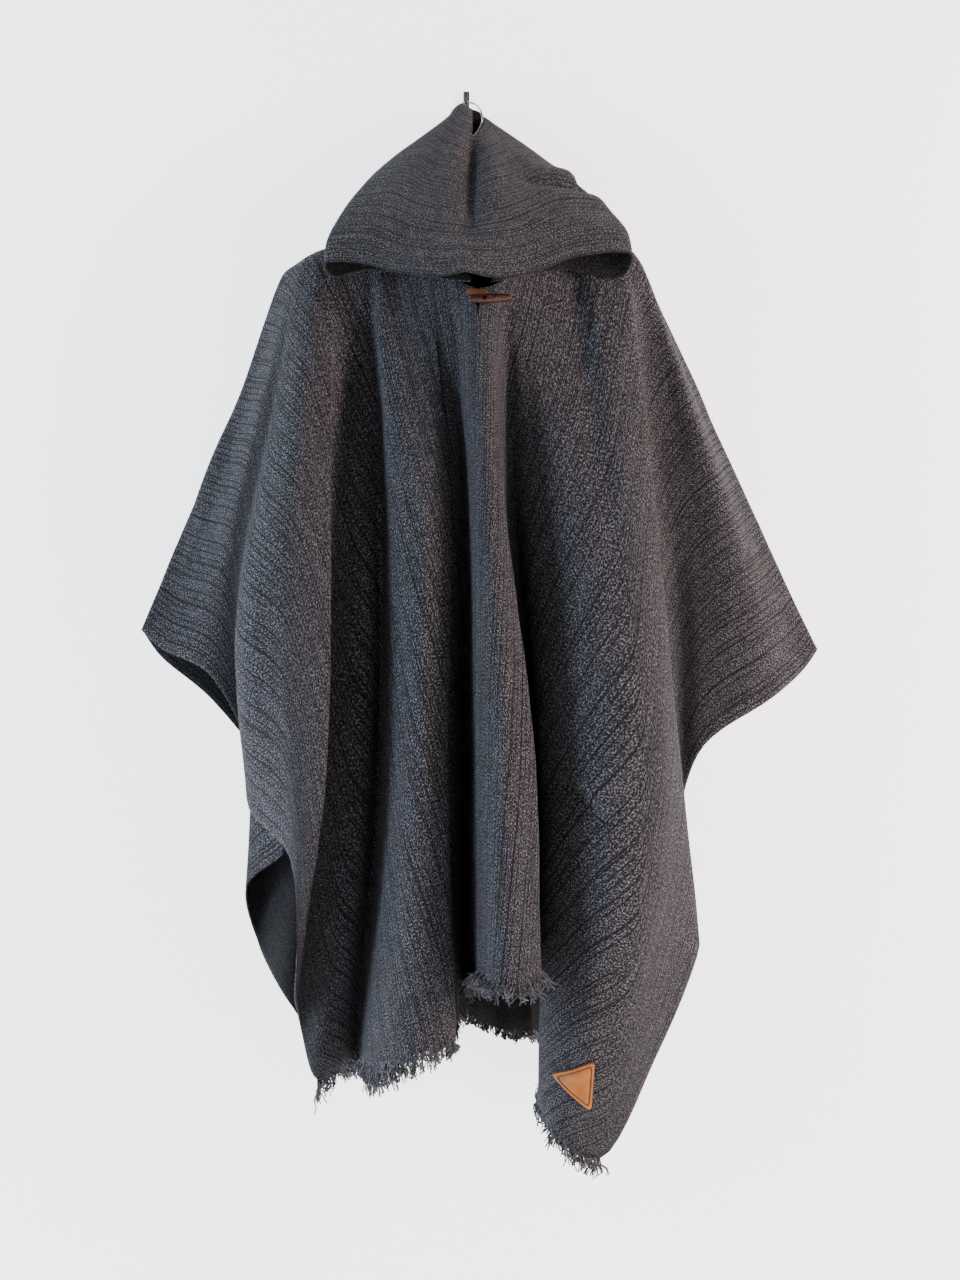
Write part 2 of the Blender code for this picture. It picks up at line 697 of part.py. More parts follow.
def main():
    clear_scene()
    garment = new_collection("hooded poncho")
    helpers = new_collection("cutters")
    wool = material("charcoal wool", (0.075, 0.076, 0.082), 0.95)
    wood = material("toggle wood", (0.24, 0.085, 0.035), 0.5)
    leather = material("tan leather", (0.56, 0.30, 0.13), 0.6)
    steel = material("ring steel", (0.72, 0.72, 0.72), 0.25, 1.0)
    iron = material("black iron", (0.02, 0.02, 0.02), 0.5, 0.6)

    front = panel_grid(FRONT_LINES, TOP_EDGE_FRONT, -1)
    back = panel_grid(BACK_LINES, TOP_EDGE_BACK, 1)
    _, front_middle, front_right = wall_strips(FRONT_STRIPS, front, FRONT_LINES, wool, garment)
    wall_strips(BACK_STRIPS, back, BACK_LINES, wool, garment)
    cut(front_middle, cutter("slit", slit_cutter(), helpers))
    fringe("fringe_front", hem_of(front, FRONT_LINES, FRONT_HEM), FRONT_PITCH, wool, garment)
    fringe("fringe_back", hem_of(back, BACK_LINES, BACK_HEM), BACK_PITCH, wool, garment)

    wall("hood_left", hood_grid(HOOD_LEFT_LINES, -1), wool, garment, notch=LEFT_NOTCH)
    wall("hood_right", hood_grid(HOOD_RIGHT_LINES, 1), wool, garment, notch=RIGHT_NOTCH)

    add_object("leather_patch", patch_mesh(front_right), leather, garment)
    toggle(wood, garment, helpers)
    tab = add_object("toggle_tab", box_mesh("toggle_tab", TAB_SIZE, TAB_BEVEL), leather, garment)
    tab.location = Vector(TAB_CENTRE) * MM
    wall_hook(iron, garment, helpers)
    hang_ring(steel, garment)


main()
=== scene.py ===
# Hooded wool poncho that hangs by a ring through its hood's peak from a slim wall hook.
# The cloth is laid on the same fold lines as its solids. Lengths are in metres, and
# the fold tables are in millimetres from the hook's back face, as a tailor would note them.

import json
import math

import bmesh
import bpy
import numpy as np
from mathutils import Matrix, Vector, noise

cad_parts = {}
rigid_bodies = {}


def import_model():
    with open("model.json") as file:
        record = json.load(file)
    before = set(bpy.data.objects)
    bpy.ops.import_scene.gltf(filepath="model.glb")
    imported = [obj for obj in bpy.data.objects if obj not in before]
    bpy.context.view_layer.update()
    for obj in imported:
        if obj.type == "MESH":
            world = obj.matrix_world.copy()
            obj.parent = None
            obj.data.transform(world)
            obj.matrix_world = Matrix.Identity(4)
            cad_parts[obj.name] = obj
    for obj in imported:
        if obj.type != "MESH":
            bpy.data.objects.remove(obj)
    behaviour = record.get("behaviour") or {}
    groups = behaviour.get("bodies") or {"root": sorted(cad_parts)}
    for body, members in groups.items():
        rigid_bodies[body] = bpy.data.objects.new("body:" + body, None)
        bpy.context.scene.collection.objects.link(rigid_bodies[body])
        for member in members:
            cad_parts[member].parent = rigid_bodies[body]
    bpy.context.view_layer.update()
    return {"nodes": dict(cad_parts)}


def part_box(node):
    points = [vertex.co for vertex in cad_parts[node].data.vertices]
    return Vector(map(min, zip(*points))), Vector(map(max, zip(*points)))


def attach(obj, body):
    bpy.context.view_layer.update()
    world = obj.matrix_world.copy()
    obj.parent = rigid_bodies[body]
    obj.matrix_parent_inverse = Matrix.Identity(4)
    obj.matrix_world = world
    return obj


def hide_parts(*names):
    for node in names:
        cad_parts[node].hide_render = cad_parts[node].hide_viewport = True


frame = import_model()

mm = 0.001
root = "root"

# The flat cut of the body, in metres: u runs across, v runs from the neck line to the hems
bodyCut = {"halfWidth": 0.73, "front": 0.81, "back": 0.89}


def toLinear(hexColour):
    parts = [int(hexColour[k : k + 2], 16) / 255 for k in (1, 3, 5)]
    return (*[p / 12.92 if p <= 0.04045 else ((p + 0.055) / 1.055) ** 2.4 for p in parts], 1.0)


def setInputs(node, inputs):
    # an input takes a value, or a link where it is given a socket
    for name, value in inputs.items():
        if isinstance(value, bpy.types.NodeSocket):
            node.id_data.links.new(value, node.inputs[name])
        else:
            node.inputs[name].default_value = value


def addNode(tree, kind, inputs=None, **settings):
    node = tree.nodes.new(kind)
    for name, value in settings.items():
        setattr(node, name, value)
    setInputs(node, inputs or {})
    return node


def newMaterial(name):
    made = bpy.data.materials.new(name)
    made.use_nodes = True
    return made, made.node_tree, made.node_tree.nodes["Principled BSDF"]


def setShader(shader, **values):
    setInputs(shader, {name.replace("_", " "): value for name, value in values.items()})


def addObject(name, data, material=None):
    obj = bpy.data.objects.new(name, data)
    if material:
        data.materials.append(material)
    bpy.context.scene.collection.objects.link(obj)
    return obj


def finishMesh(obj):
    # the evaluated mesh, as a plain one with no modifiers
    graph = bpy.context.evaluated_depsgraph_get()
    plain = bpy.data.meshes.new_from_object(obj.evaluated_get(graph))
    obj.modifiers.clear()
    obj.data = plain
    return obj


def place(obj, slot, *nodes):
    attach(obj, root)
    if nodes:
        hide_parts(*nodes)
    return obj


# Camera at the photograph's height and distance: at 1.7 m, one of its 1280 rows of
# pixels is 1.2 mm high
cameraView = {
    "eye": (0.018, -1.860, -0.705),
    "sensor": 36.0,
    "distance": 1.700,
    "rowHeight": 0.0012,
    "rows": 1280,
}


def addCamera():
    view = cameraView
    data = bpy.data.cameras.new("camera")
    data.sensor_fit = "VERTICAL"
    data.sensor_height = view["sensor"]
    data.lens = view["sensor"] * (view["distance"] / view["rowHeight"]) / view["rows"]
    camera = addObject("camera", data)
    camera.location = view["eye"]
    camera.rotation_euler = (math.pi / 2, 0, 0)
    bpy.context.scene.camera = camera
    print("camera placed")


addCamera()


# Cloth geometry


def lengthOf(vectors):
    return np.linalg.norm(vectors, axis=-1, keepdims=True)


def splineAt(rows, places, before=None, after=None, ease=None):
    # smooth curve through the rows, read at the places: 0 is the first row. ease under 1
    # makes the turn at a row sharper
    rows = np.asarray(rows, float)
    places = np.asarray(places, float)
    if before is None:
        before = 2 * rows[0] - rows[1]
    if after is None:
        after = 2 * rows[-1] - rows[-2]
    full = np.concatenate([[before], rows, [after]])
    steps = np.diff(full, axis=0)
    spans = np.sqrt(lengthOf(steps)) + 1e-6
    slope = steps[:-1] / spans[:-1] + steps[1:] / spans[1:]
    slope -= (full[2:] - full[:-2]) / (spans[:-1] + spans[1:])
    if ease is not None:
        slope = slope * np.reshape(ease, (-1, *[1] * (rows.ndim - 1)))
    first = np.clip(np.floor(places).astype(int), 0, len(rows) - 2)
    f = (places - first).reshape(-1, *[1] * (rows.ndim - 1))
    span = spans[first + 1]
    return (
        (2 * f**3 - 3 * f**2 + 1) * rows[first]
        + (f**3 - 2 * f**2 + f) * span * slope[first]
        + (3 * f**2 - 2 * f**3) * rows[first + 1]
        + (f**3 - f**2) * span * slope[first + 1]
    )


def stepPlaces(counts):
    made = [k + n / count for k, count in enumerate(counts) for n in range(count)]
    return np.array([*made, len(counts)])


# The edge that each panel hangs from, left to right: shoulder folds and neck seam.
# columns: place on the cut from the centre, then across, depth, height
leftShoulder = (
    (-275, -218, -100, -244),
    (-228, -176, -106, -223),
    (-182, -129, -109, -216),
    (-165, -112, -110, -216),
)
rightShoulder = (
    (165, 148, -110, -213),
    (182, 165, -109, -214),
    (222, 204, -106, -224),
    (267, 227, -100, -264),
)
neckFront = (
    (-110, -68, -134, -238),
    (-55, -24, -163, -266),
    (0, 19, -186, -289),
    (55, 64, -164, -264),
    (110, 105, -136, -237),
)
neckBack = (
    (-110, -74, -74, -250),
    (-55, -36, -42, -286),
    (0, 4, -26, -303),
    (55, 46, -42, -285),
    (110, 102, -74, -248),
)
topEdgeFront = leftShoulder + neckFront + rightShoulder
topEdgeBack = leftShoulder + neckBack + rightShoulder

# Fold lines of the front, from the left shoulder fold round to the right one.
# columns: name, start on the top edge, then across and depth a third and two thirds of
# the way down, then across, depth and height of the foot
frontLines = (
    ("left shoulder fold", -275, -278, -98, -341, -94, -404, -90, -693),
    ("left wing rim", -268, -264, -112, -318, -108, -378, -98, -716),
    ("left wing face", -260, -243, -140, -283, -142, -316, -120, -746),
    ("left wing selvedge", -252, -234, -150, -273, -142, -274, -92, -836),
    ("left ridge side", -242, -227, -166, -272, -160, -265, -118, -912),
    ("left ridge crest", -230, -194, -192, -212, -208, -207, -172, -965),
    ("left ridge edge", -218, -160, -190, -161, -205, -205, -152, -1134),
    ("left ridge tuck", -208, -164, -166, -178, -150, -206, -118, -1160),
    ("left hollow", -199, -150, -140, -163, -116, -200, -108, -1202),
    ("front left corner", -190, -131, -134, -140, -112, -182, -118, -1245),
    ("left hollow end", -181, -116, -128, -124, -100, -158, -104, -1240),
    ("left crevice", -172, -105, -120, -112, -66, -139, -70, -1226),
    ("second ridge side", -160, -87, -176, -92, -160, -112, -158, -1212),
    ("second ridge crest", -130, -47, -206, -52, -218, -65, -218, -1187),
    ("second ridge edge", -82, -18, -192, -21, -206, -12, -206, -1174),
    ("second ridge tuck", -66, -23, -168, -29, -152, -21, -150, -1176),
    ("middle hollow", -50, -13, -160, -16, -134, -11, -128, -1165),
    ("middle crevice", -36, -3, -146, 2, -80, 0, -76, -1153),
    ("centre ridge side", -22, 10, -200, 12, -196, 17, -206, -1093),
    ("centre ridge crest", -9, 22, -224, 36, -250, 40, -264, -1093),
    ("centre front", 0, 33, -226, 56, -254, 62, -268, -1094),
    ("centre ridge edge", 9, 46, -212, 79, -236, 87, -248, -1085),
    ("centre ridge tuck", 20, 45, -186, 62, -186, 66, -192, -1092),
    ("centre crevice", 32, 62, -140, 106, -80, 116, -78, -1166),
    ("right panel side", 46, 79, -176, 94, -176, 88, -174, -1251),
    ("right panel crest", 105, 143, -214, 159, -238, 111, -214, -1281),
    ("front right corner", 160, 180, -216, 203, -242, 158, -206, -1310),
    ("right selvedge", 190, 200, -208, 232, -228, 222, -192, -1201),
    ("right ridge edge", 206, 220, -190, 245, -204, 280, -168, -1069),
    ("right ridge tuck", 218, 216, -160, 235, -150, 268, -122, -1006),
    ("right hollow", 230, 230, -138, 257, -116, 270, -92, -911),
    ("right wing side", 242, 250, -136, 283, -128, 295, -110, -835),
    ("right wing face", 252, 273, -140, 330, -138, 377, -118, -776),
    ("right wing rim", 260, 285, -114, 354, -110, 421, -98, -741),
    ("right shoulder fold", 267, 297, -98, 366, -94, 439, -90, -717),
)
backLines = (
    ("left shoulder fold", -275, -278, -98, -341, -94, -404, -90, -693),
    ("left wing rim", -266, -264, -82, -319, -80, -384, -82, -724),
    ("left wing face", -250, -236, -58, -281, -56, -321, -66, -781),
    ("left wing selvedge", -234, -213, -42, -245, -40, -253, -52, -877),
    ("left flap edge", -218, -209, -40, -241, -44, -226, -96, -969),
    ("left flap side", -202, -201, -34, -262, -40, -278, -60, -1018),
    ("left back ridge", -184, -177, -22, -235, -22, -267, -36, -1096),
    ("left back hollow", -160, -147, -44, -187, -70, -221, -76, -1163),
    ("back left corner", -130, -112, -20, -140, -20, -163, -26, -1251),
    ("second back hollow", -90, -66, -72, -74, -106, -81, -112, -1206),
    ("second back ridge", -45, -21, -18, -18, -18, -21, -24, -1178),
    ("centre back", 0, 24, -76, 36, -112, 40, -118, -1182),
    ("third back ridge", 45, 66, -18, 96, -18, 110, -24, -1216),
    ("third back hollow", 90, 126, -62, 180, -84, 196, -84, -1240),
    ("back right corner", 135, 174, -20, 216, -20, 234, -26, -1236),
    ("right back hollow", 165, 205, -34, 243, -42, 260, -40, -1123),
    ("right back ridge", 195, 226, -22, 256, -24, 265, -34, -1001),
    ("right wing selvedge", 220, 249, -40, 281, -40, 286, -52, -848),
    ("right wing face", 240, 275, -58, 342, -58, 380, -68, -768),
    ("right wing rim", 257, 288, -84, 357, -82, 422, -84, -735),
    ("right shoulder fold", 267, 297, -98, 366, -94, 439, -90, -717),
)

# Fold lines of the hood, from the top seam round one side to the centre back. The left
# half is pulled up. columns: name, then as (across, depth, height) the start at the peak,
# the middle, how far the line bulges low down, and the foot
hoodLeftLines = (
    ("top seam", (8, -37, -23), (8, -126, -154), (0, 0, 0), (2, -232, -280)),
    ("brim near the seam", (-1, -38, -18), (-16, -138, -156), (0, 0, 0), (-28, -226, -284)),
    ("brim middle", (-7, -37, -16), (-50, -138, -156), (0, 0, 0), (-75, -206, -275)),
    ("brim outer", (-12, -34, -20), (-88, -122, -146), (-8, -4, 0), (-127, -178, -256)),
    ("brim end", (-17, -30, -26), (-118, -94, -129), (-13, -6, -5), (-168, -168, -255)),
    ("brim under", (-19, -26, -30), (-117, -82, -131), (-10, -8, 2), (-160, -154, -267)),
    ("brim return", (-18, -24, -31), (-112, -73, -134), (0, -12, 5), (-118, -144, -257)),
    ("throat", (-17, -22, -30), (-105, -66, -136), (0, -8, 4), (7, -186, -281)),
    ("neck front", (-15, -20, -28), (-97, -60, -136), (0, 0, 0), (-68, -133, -241)),
    ("neck side", (-11, -18, -24), (-87, -54, -133), (0, 0, 0), (-110, -108, -219)),
    ("neck back", (-5, -16, -18), (-46, -36, -142), (0, 0, 0), (-50, -54, -281)),
    ("centre back", (1, -16, -16), (1, -24, -161), (0, 0, 0), (4, -26, -309)),
)
hoodRightLines = (
    ("top seam", (8, -37, -23), (8, -126, -154), (0, 0, 0), (2, -232, -280)),
    ("brim near the seam", (15, -31, -27), (28, -138, -156), (0, 0, 0), (30, -226, -285)),
    ("brim middle", (21, -29, -29), (57, -138, -156), (0, 0, 0), (74, -208, -277)),
    ("brim outer", (26, -28, -31), (94, -120, -138), (10, -4, 3), (136, -182, -249)),
    ("brim end", (29, -27, -33), (126, -90, -125), (14, 0, 4), (200, -166, -244)),
    ("brim under", (30, -25, -34), (124, -78, -128), (12, -16, 4), (188, -152, -268)),
    ("brim return", (30, -24, -34), (118, -70, -132), (0, -18, 6), (122, -146, -257)),
    ("throat", (27, -22, -33), (110, -64, -134), (0, -12, 5), (31, -186, -281)),
    ("neck front", (23, -20, -27), (101, -59, -134), (0, 0, 0), (105, -135, -241)),
    ("neck side", (17, -18, -19), (91, -54, -132), (0, 0, 0), (147, -108, -217)),
    ("neck back", (8, -16, -15), (50, -36, -142), (0, 0, 0), (58, -54, -281)),
    ("centre back", (1, -16, -16), (1, -24, -161), (0, 0, 0), (4, -26, -309)),
)


def onTopEdge(edge, starts, perRow=12):
    table = np.array(edge, float)
    last = len(table) - 1
    reading = np.linspace(0, last, perRow * last + 1)
    fine = splineAt(table[:, 1:], reading)
    along = np.interp(reading, range(len(table)), table[:, 0])
    return np.stack([np.interp(starts, along, fine[:, k]) for k in range(3)], axis=1)


# How the body hangs. Steps between fold lines and down them, then the roll over the
# shoulders, the left shoulder's round corner and the sharper turn at a fold's edge, in
# millimetres: From, Over and End are distances along the top edge, and rollMix is how the
# roll is mixed from the top and the first third. Then the wall and its uneven surface,
# calm near the neck, in metres, and the slit, in columns and rows
bodyShape = {
    "across": 6,
    "rimAcross": 10,
    "backAcross": 12,
    "down": (8, 28, 34, 24),
    "roll": 12.0,
    "rollRise": 5.0,
    "rollMix": (0.93, 0.07),
    "rollFrom": 135,
    "rollOver": 28,
    "rollEnd": 25,
    "swell": 2,
    "swellOver": 10,
    "cornerOut": 4.0,
    "cornerUp": 2.5,
    "cornerOver": 14,
    "joinFrom": 165,
    "crisp": 0.45,
    "thickness": 0.0024,
    "undulation": 0.0013,
    "undulationSize": 0.075,
    "fineShare": 0.12,
    "calmFrom": -0.30,
    "calmOver": 0.12,
    "facing": 0.15,
    "slitPlace": 19.3,
    "slitRows": 11,
    "slitHalf": 2.7,
    "slitNarrows": 0.2,
}
crispLines = ("left ridge edge", "second ridge edge", "centre ridge edge", "right ridge edge")
crispLines += ("left flap edge", "second back ridge", "third back ridge")


def turnedBack(end, inner):
    return np.stack([inner[..., 0], 2 * end[..., 1] - inner[..., 1], inner[..., 2]], axis=-1)


def lineStations(starts, edge, upper, lower, foot, side):
    # five points down each line: top, roll, a third, two thirds, foot
    shape = bodyShape
    share = np.clip((np.abs(starts) - shape["rollFrom"]) / shape["rollOver"], 0, 1)
    end = np.minimum(np.abs(starts - starts[0]), np.abs(starts - starts[-1]))
    shareIn = share * np.clip(end / shape["rollEnd"], 0, 1)
    swell = shape["swell"] * np.clip(end / shape["swellOver"], 0, 1)
    top = onTopEdge(edge, starts)
    upper[:, 2] = top[:, 2] * 2 / 3 + foot[:, 2] / 3
    lower[:, 2] = top[:, 2] / 3 + foot[:, 2] * 2 / 3
    roll = top * shape["rollMix"][0] + upper * shape["rollMix"][1]
    roll[:, 1] += side * (shape["roll"] * shareIn + swell)
    roll[:, 2] += shape["rollRise"] * shareIn
    # the left shoulder's corner is round
    corner = np.clip(1 - end / shape["cornerOver"], 0, 1) * (starts < 0)
    roll[:, 0] -= shape["cornerOut"] * corner
    roll[:, 2] += shape["cornerUp"] * corner
    return np.stack([top, roll, upper, lower, foot]), share[:, None]


def cutPlace(distance, deep):
    # place on the flat cut of a point so far round its edge, from the left shoulder tip
    half = bodyCut["halfWidth"]
    if distance < deep:
        return (-half, distance)
    if distance < deep + 2 * half:
        return (distance - deep - half, deep)
    return (half, 2 * (deep + half) - distance)


def relaxed(cut, grid, rounds=1500):
    # the flat cut laid evenly over the cloth: its edges stay, the rest settles between them.
    # least keeps steps of no length from counting for too much, in millimetres
    least = 0.2
    across = lengthOf(np.diff(grid, axis=0)) + least
    down = lengthOf(np.diff(grid, axis=1)) + least
    toNext = (down[:-1, :-1] + down[:-1, 1:]) / 2 / across[:, 1:-1]
    toLower = (across[:-1, :-1] + across[1:, :-1]) / 2 / down[1:-1]
    left, right = toNext[:-1], toNext[1:]
    upper, lower = toLower[:, :-1], toLower[:, 1:]
    total = left + right + upper + lower
    for _ in range(rounds):
        settled = left * cut[:-2, 1:-1] + right * cut[2:, 1:-1]
        settled += upper * cut[1:-1, :-2] + lower * cut[1:-1, 2:]
        cut[1:-1, 1:-1] = settled / total
    return cut


def walkedAlong(grid, axis):
    # distance walked from the first row of points, along that axis
    steps = lengthOf(np.diff(grid, axis=axis))[..., 0]
    return np.insert(np.cumsum(steps, axis=axis), 0, 0, axis=axis)


def footPlaces(feet, lines, places, deep):
    # each foot's place on the cut's edge: corners fixed, even by length between them
    names = [row[0] for row in lines]
    corners = [k for k, name in enumerate(names) if name.endswith("corner")]
    stops = [0, *[int(np.argmin(abs(places - k))) for k in corners], len(places) - 1]
    marks = [0, deep, deep + 2 * bodyCut["halfWidth"], 2 * (deep + bodyCut["halfWidth"])]
    walked = walkedAlong(feet, 0)
    return [cutPlace(d, deep) for d in np.interp(walked, walked[stops], marks)]


def panelGrid(lines, edge, side, places, deep):
    # points of a panel and their places on the flat cut, column by column
    starts = np.array([row[1] for row in lines], float)
    upper = np.array([(*row[2:4], 0) for row in lines], float)
    lower = np.array([(*row[4:6], 0) for row in lines], float)
    foot = np.array([row[6:9] for row in lines], float)
    ease = [1 - bodyShape["crisp"] * (row[0] in crispLines) for row in lines]
    read = []
    for rows in (upper, lower, foot):
        before = turnedBack(rows[0], rows[1])
        after = turnedBack(rows[-1], rows[-2])
        read.append(splineAt(rows, places, before=before, after=after, ease=ease))
    allStarts = np.interp(places, range(len(starts)), starts)
    stations, share = lineStations(allStarts, edge, *read, side)
    top, roll = stations[:2]
    before = turnedBack(top, roll) * share + (2 * top - roll) * (1 - share)
    grid = splineAt(stations, stepPlaces(bodyShape["down"]), before=before).transpose(1, 0, 2)

    feet = np.array(footPlaces(grid[:, -1], lines, places, deep))
    walked = walkedAlong(grid, 1)
    walked = (walked / walked[:, -1:])[..., None]
    top = np.stack([allStarts * mm, np.zeros(len(allStarts))], axis=1)[:, None]
    cut = relaxed(top * (1 - walked) + feet[:, None] * walked, grid)
    cut[..., 1] *= -side
    return grid * mm, cut


def gridFaces(across, down, first=0, skip=None):
    faces = []
    for i in range(across - 1):
        for j in range(down - 1):
            if skip and skip(i, j):
                continue
            a = first + i * down + j
            faces.append((a, a + 1, a + down + 1, a + down))
    return faces


def joinedMesh(name, grids, cuts, faces, turned, apart=0.00002):
    # points that coincide become one; turned faces look the other way
    points = np.concatenate([grid.reshape(-1, 3) for grid in grids])
    flat = np.concatenate([cut.reshape(-1, 2) for cut in cuts])
    rounded = np.round(points / apart).astype(int)
    _, keep, index = np.unique(rounded, axis=0, return_index=True, return_inverse=True)
    index = index.reshape(-1)
    loops = []
    for face, flip in zip(faces, turned):
        ring = list(dict.fromkeys(index[list(face)].tolist()))
        if len(ring) > 2:
            loops.append(ring[::-1] if flip else ring)
    mesh = bpy.data.meshes.new(name)
    mesh.from_pydata(points[keep].tolist(), [], loops)
    corner = np.empty(len(mesh.loops), int)
    mesh.loops.foreach_get("vertex_index", corner)
    layer = mesh.uv_layers.new(name="cut")
    layer.data.foreach_set("uv", flat[keep][corner].reshape(-1).astype(np.float32))
    mesh.shade_smooth()
    mesh.update()
    return mesh


# Soft creases and small ridges laid on the front, in millimetres.
# columns: from (across, height), to (across, height), depth, half width
frontCreases = (
    ((108, -868), (186, -934), -9.0, 7),
    ((116, -852), (194, -914), 6.0, 8),
    ((-252, -610), (-258, -900), 5.0, 17),
    ((-226, -640), (-232, -860), -3.0, 14),
    ((-296, -420), (-348, -640), 2.2, 15),
    ((-330, -520), (-380, -680), -1.8, 12),
    ((-95, -330), (-60, -620), 2.8, 12),
    ((-72, -320), (-38, -560), -2.4, 10),
    ((-120, -340), (-92, -760), -2.0, 13),
    ((60, -330), (92, -700), -2.2, 12),
    ((84, -310), (128, -640), 2.4, 12),
    ((130, -300), (176, -680), -2.0, 14),
    ((168, -320), (206, -760), 2.2, 12),
    ((140, -700), (176, -1090), 2.6, 16),
    ((112, -960), (130, -1180), -2.4, 13),
    ((196, -820), (214, -1040), -2.6, 14),
    ((250, -330), (330, -560), 2.2, 15),
    ((300, -420), (382, -640), -2.2, 14),
    ((334, -560), (398, -690), 1.8, 12),
    ((-60, -760), (-70, -1120), 2.0, 9),
    ((-36, -700), (-30, -1080), -1.8, 8),
    ((-100, -800), (-112, -1160), -2.4, 11),
    ((30, -520), (52, -960), 1.6, 8),
    ((60, -640), (70, -1040), -1.6, 8),
)
# The same for the back, which the wall hides
backCreases = (
    ((-210, -330), (-262, -760), 3.0, 16),
    ((-150, -330), (-182, -820), -2.4, 15),
    ((-40, -380), (-44, -900), 2.2, 14),
    ((60, -360), (84, -860), -2.4, 15),
    ((150, -340), (214, -820), 3.0, 16),
    ((230, -420), (300, -660), -2.0, 14),
    ((-300, -420), (-352, -660), -2.0, 14),
    ((-120, -820), (-140, -1160), 2.4, 14),
    ((150, -800), (176, -1150), -2.6, 15),
    ((10, -760), (18, -1120), 2.0, 12),
)


# How a crease fades at both ends: the part of a half wave that it takes, where that
# starts, and how fast it rises
creaseShape = {"share": 0.92, "start": 0.04, "rise": 0.7}


def creaseHeight(points, creases):
    raised = np.zeros(len(points))
    flat = points[:, [0, 2]] / mm
    for start, end, depth, half in creases:
        start, end = np.array(start, float), np.array(end, float)
        way = end - start
        share = np.clip((flat - start) @ way / (way @ way), 0, 1)
        apart = np.linalg.norm(flat - start - share[:, None] * way, axis=1)
        wave = np.clip(share * creaseShape["share"] + creaseShape["start"], 0, 1)
        taper = np.sin(np.pi * wave) ** creaseShape["rise"]
        raised += depth * mm * taper * np.exp(-((apart / half) ** 2))
    return raised


def vertexValues(mesh, name):
    values = np.empty(len(mesh.vertices) * 3)
    mesh.vertices.foreach_get(name, values)
    return values.reshape(-1, 3)


def movedAlong(mesh, normals, heights):
    points = vertexValues(mesh, "co") + normals * heights[:, None]
    mesh.vertices.foreach_set("co", points.reshape(-1))
    mesh.update()


def undulate(points, size, seed):
    return np.array([noise.noise(Vector(p) / size + Vector((seed, 0, 0))) for p in points])


def giveWall(obj, thickness, inner):
    # the cloth's inner face takes the second material, a darker copy of the wool that paints shade
    # on the insides
    obj.data.materials.append(inner)
    wall = obj.modifiers.new("wall", "SOLIDIFY")
    wall.material_offset = 1
    wall.thickness = thickness
    wall.offset = 0.0
    wall.use_quality_normals = True
    finishMesh(obj)


def bodyMesh():
    shape = bodyShape
    count = len(frontLines)
    steps = [shape["rimAcross"]] + [shape["across"]] * (count - 3) + [shape["rimAcross"]]
    frontPlaces = stepPlaces(steps)
    front, frontCut = panelGrid(frontLines, topEdgeFront, -1, frontPlaces, bodyCut["front"])
    # over the shoulders the back's columns start where the front's do, so the two join
    frontStarts = np.interp(frontPlaces, range(count), [row[1] for row in frontLines])
    backStarts = np.array([row[1] for row in backLines], float)
    shoulder = frontStarts[np.abs(frontStarts) >= shape["joinFrom"]]
    shoulderPlaces = np.interp(shoulder, backStarts, range(len(backLines)))
    left, right = shoulderPlaces[shoulder < 0], shoulderPlaces[shoulder > 0]
    columns = shape["across"] * shape["backAcross"] + 1
    between = np.linspace(left[-1], right[0], columns)[1:-1]
    backPlaces = np.concatenate([left, between, right])
    back, backCut = panelGrid(backLines, topEdgeBack, 1, backPlaces, bodyCut["back"])
    print("body:", front.shape, back.shape)

    slit = int(np.argmin(np.abs(frontPlaces - shape["slitPlace"])))

    def inSlit(i, j):
        half = shape["slitHalf"] - shape["slitNarrows"] * j
        return j < shape["slitRows"] and abs(i - slit) < half

    faces = gridFaces(*front.shape[:2], skip=inSlit)
    behind = gridFaces(*back.shape[:2], first=front.shape[0] * front.shape[1])
    turned = [False] * len(faces) + [True] * len(behind)
    cuts = (frontCut, backCut)
    mesh = joinedMesh("bodyCloth", (front, back), cuts, faces + behind, turned)
    return mesh, front, back, frontPlaces, backPlaces


# Materials

# Wool: woven on a hand loom from melange yarn, so it is matt with a short nap, and shows
# flecks of several greys and thin dark twisted warp yarns at uneven spacing. The flecks
# and ribs are drawn coarser than the real ones, so that they show. Numbers are
# millimetres where the name says so, and otherwise shares, strengths or noise scales
woolLook = {
    "dark": "#0b0c0e",
    "mid": "#282a2d",
    "light": "#76767b",
    "line": "#08080a",
    "nap": "#8d8f96",
    "fleckMm": 1.75,
    "fleckStretch": 1.6,
    "fleckStops": ((0.38, "dark"), (0.47, "mid"), (0.53, "mid"), (0.62, "light")),
    "ribMm": 2.6,
    "ribTone": 0.10,
    "ribHeight": 0.12,
    "patchScale": 60.0,
    "patchRange": (0.3, 0.7),
    "patchTones": (0.78, 1.18),
    "lineMm": 7.0,
    "lineWidth": 0.12,
    "lineShare": 0.88,
    "boldLineMm": 24.0,
    "boldLineWidth": 0.036,
    "boldLineShare": 0.9,
    "lineDepth": 0.45,
    "lineCore": 0.35,
    "unevenness": 0.7,
    "twistMm": 6.0,
    "twistShare": 0.22,
    "swayScale": 14.0,
    "sway": 0.0014,
    "brokenMm": 90.0,
    "brokenScale": 0.55,
    "brokenFrom": 0.34,
    "brokenTo": 0.50,
    "roughness": 0.92,
    "bump": 0.85,
    "bumpHeight": 0.0016,
}


def rampNode(tree, source, stops):
    node = addNode(tree, "ShaderNodeValToRGB", {"Fac": source})
    ramp = node.color_ramp
    while len(ramp.elements) < len(stops):
        ramp.elements.new(0.5)
    for element, (position, colour) in zip(ramp.elements, stops):
        element.position = position
        element.color = toLinear(colour)
    return node.outputs["Color"]


def mathNode(tree, operation, *terms):
    return addNode(tree, "ShaderNodeMath", dict(enumerate(terms)), operation=operation).outputs[0]


def vectorMath(tree, operation, *terms):
    inputs = dict(enumerate(terms))
    return addNode(tree, "ShaderNodeVectorMath", inputs, operation=operation).outputs[0]


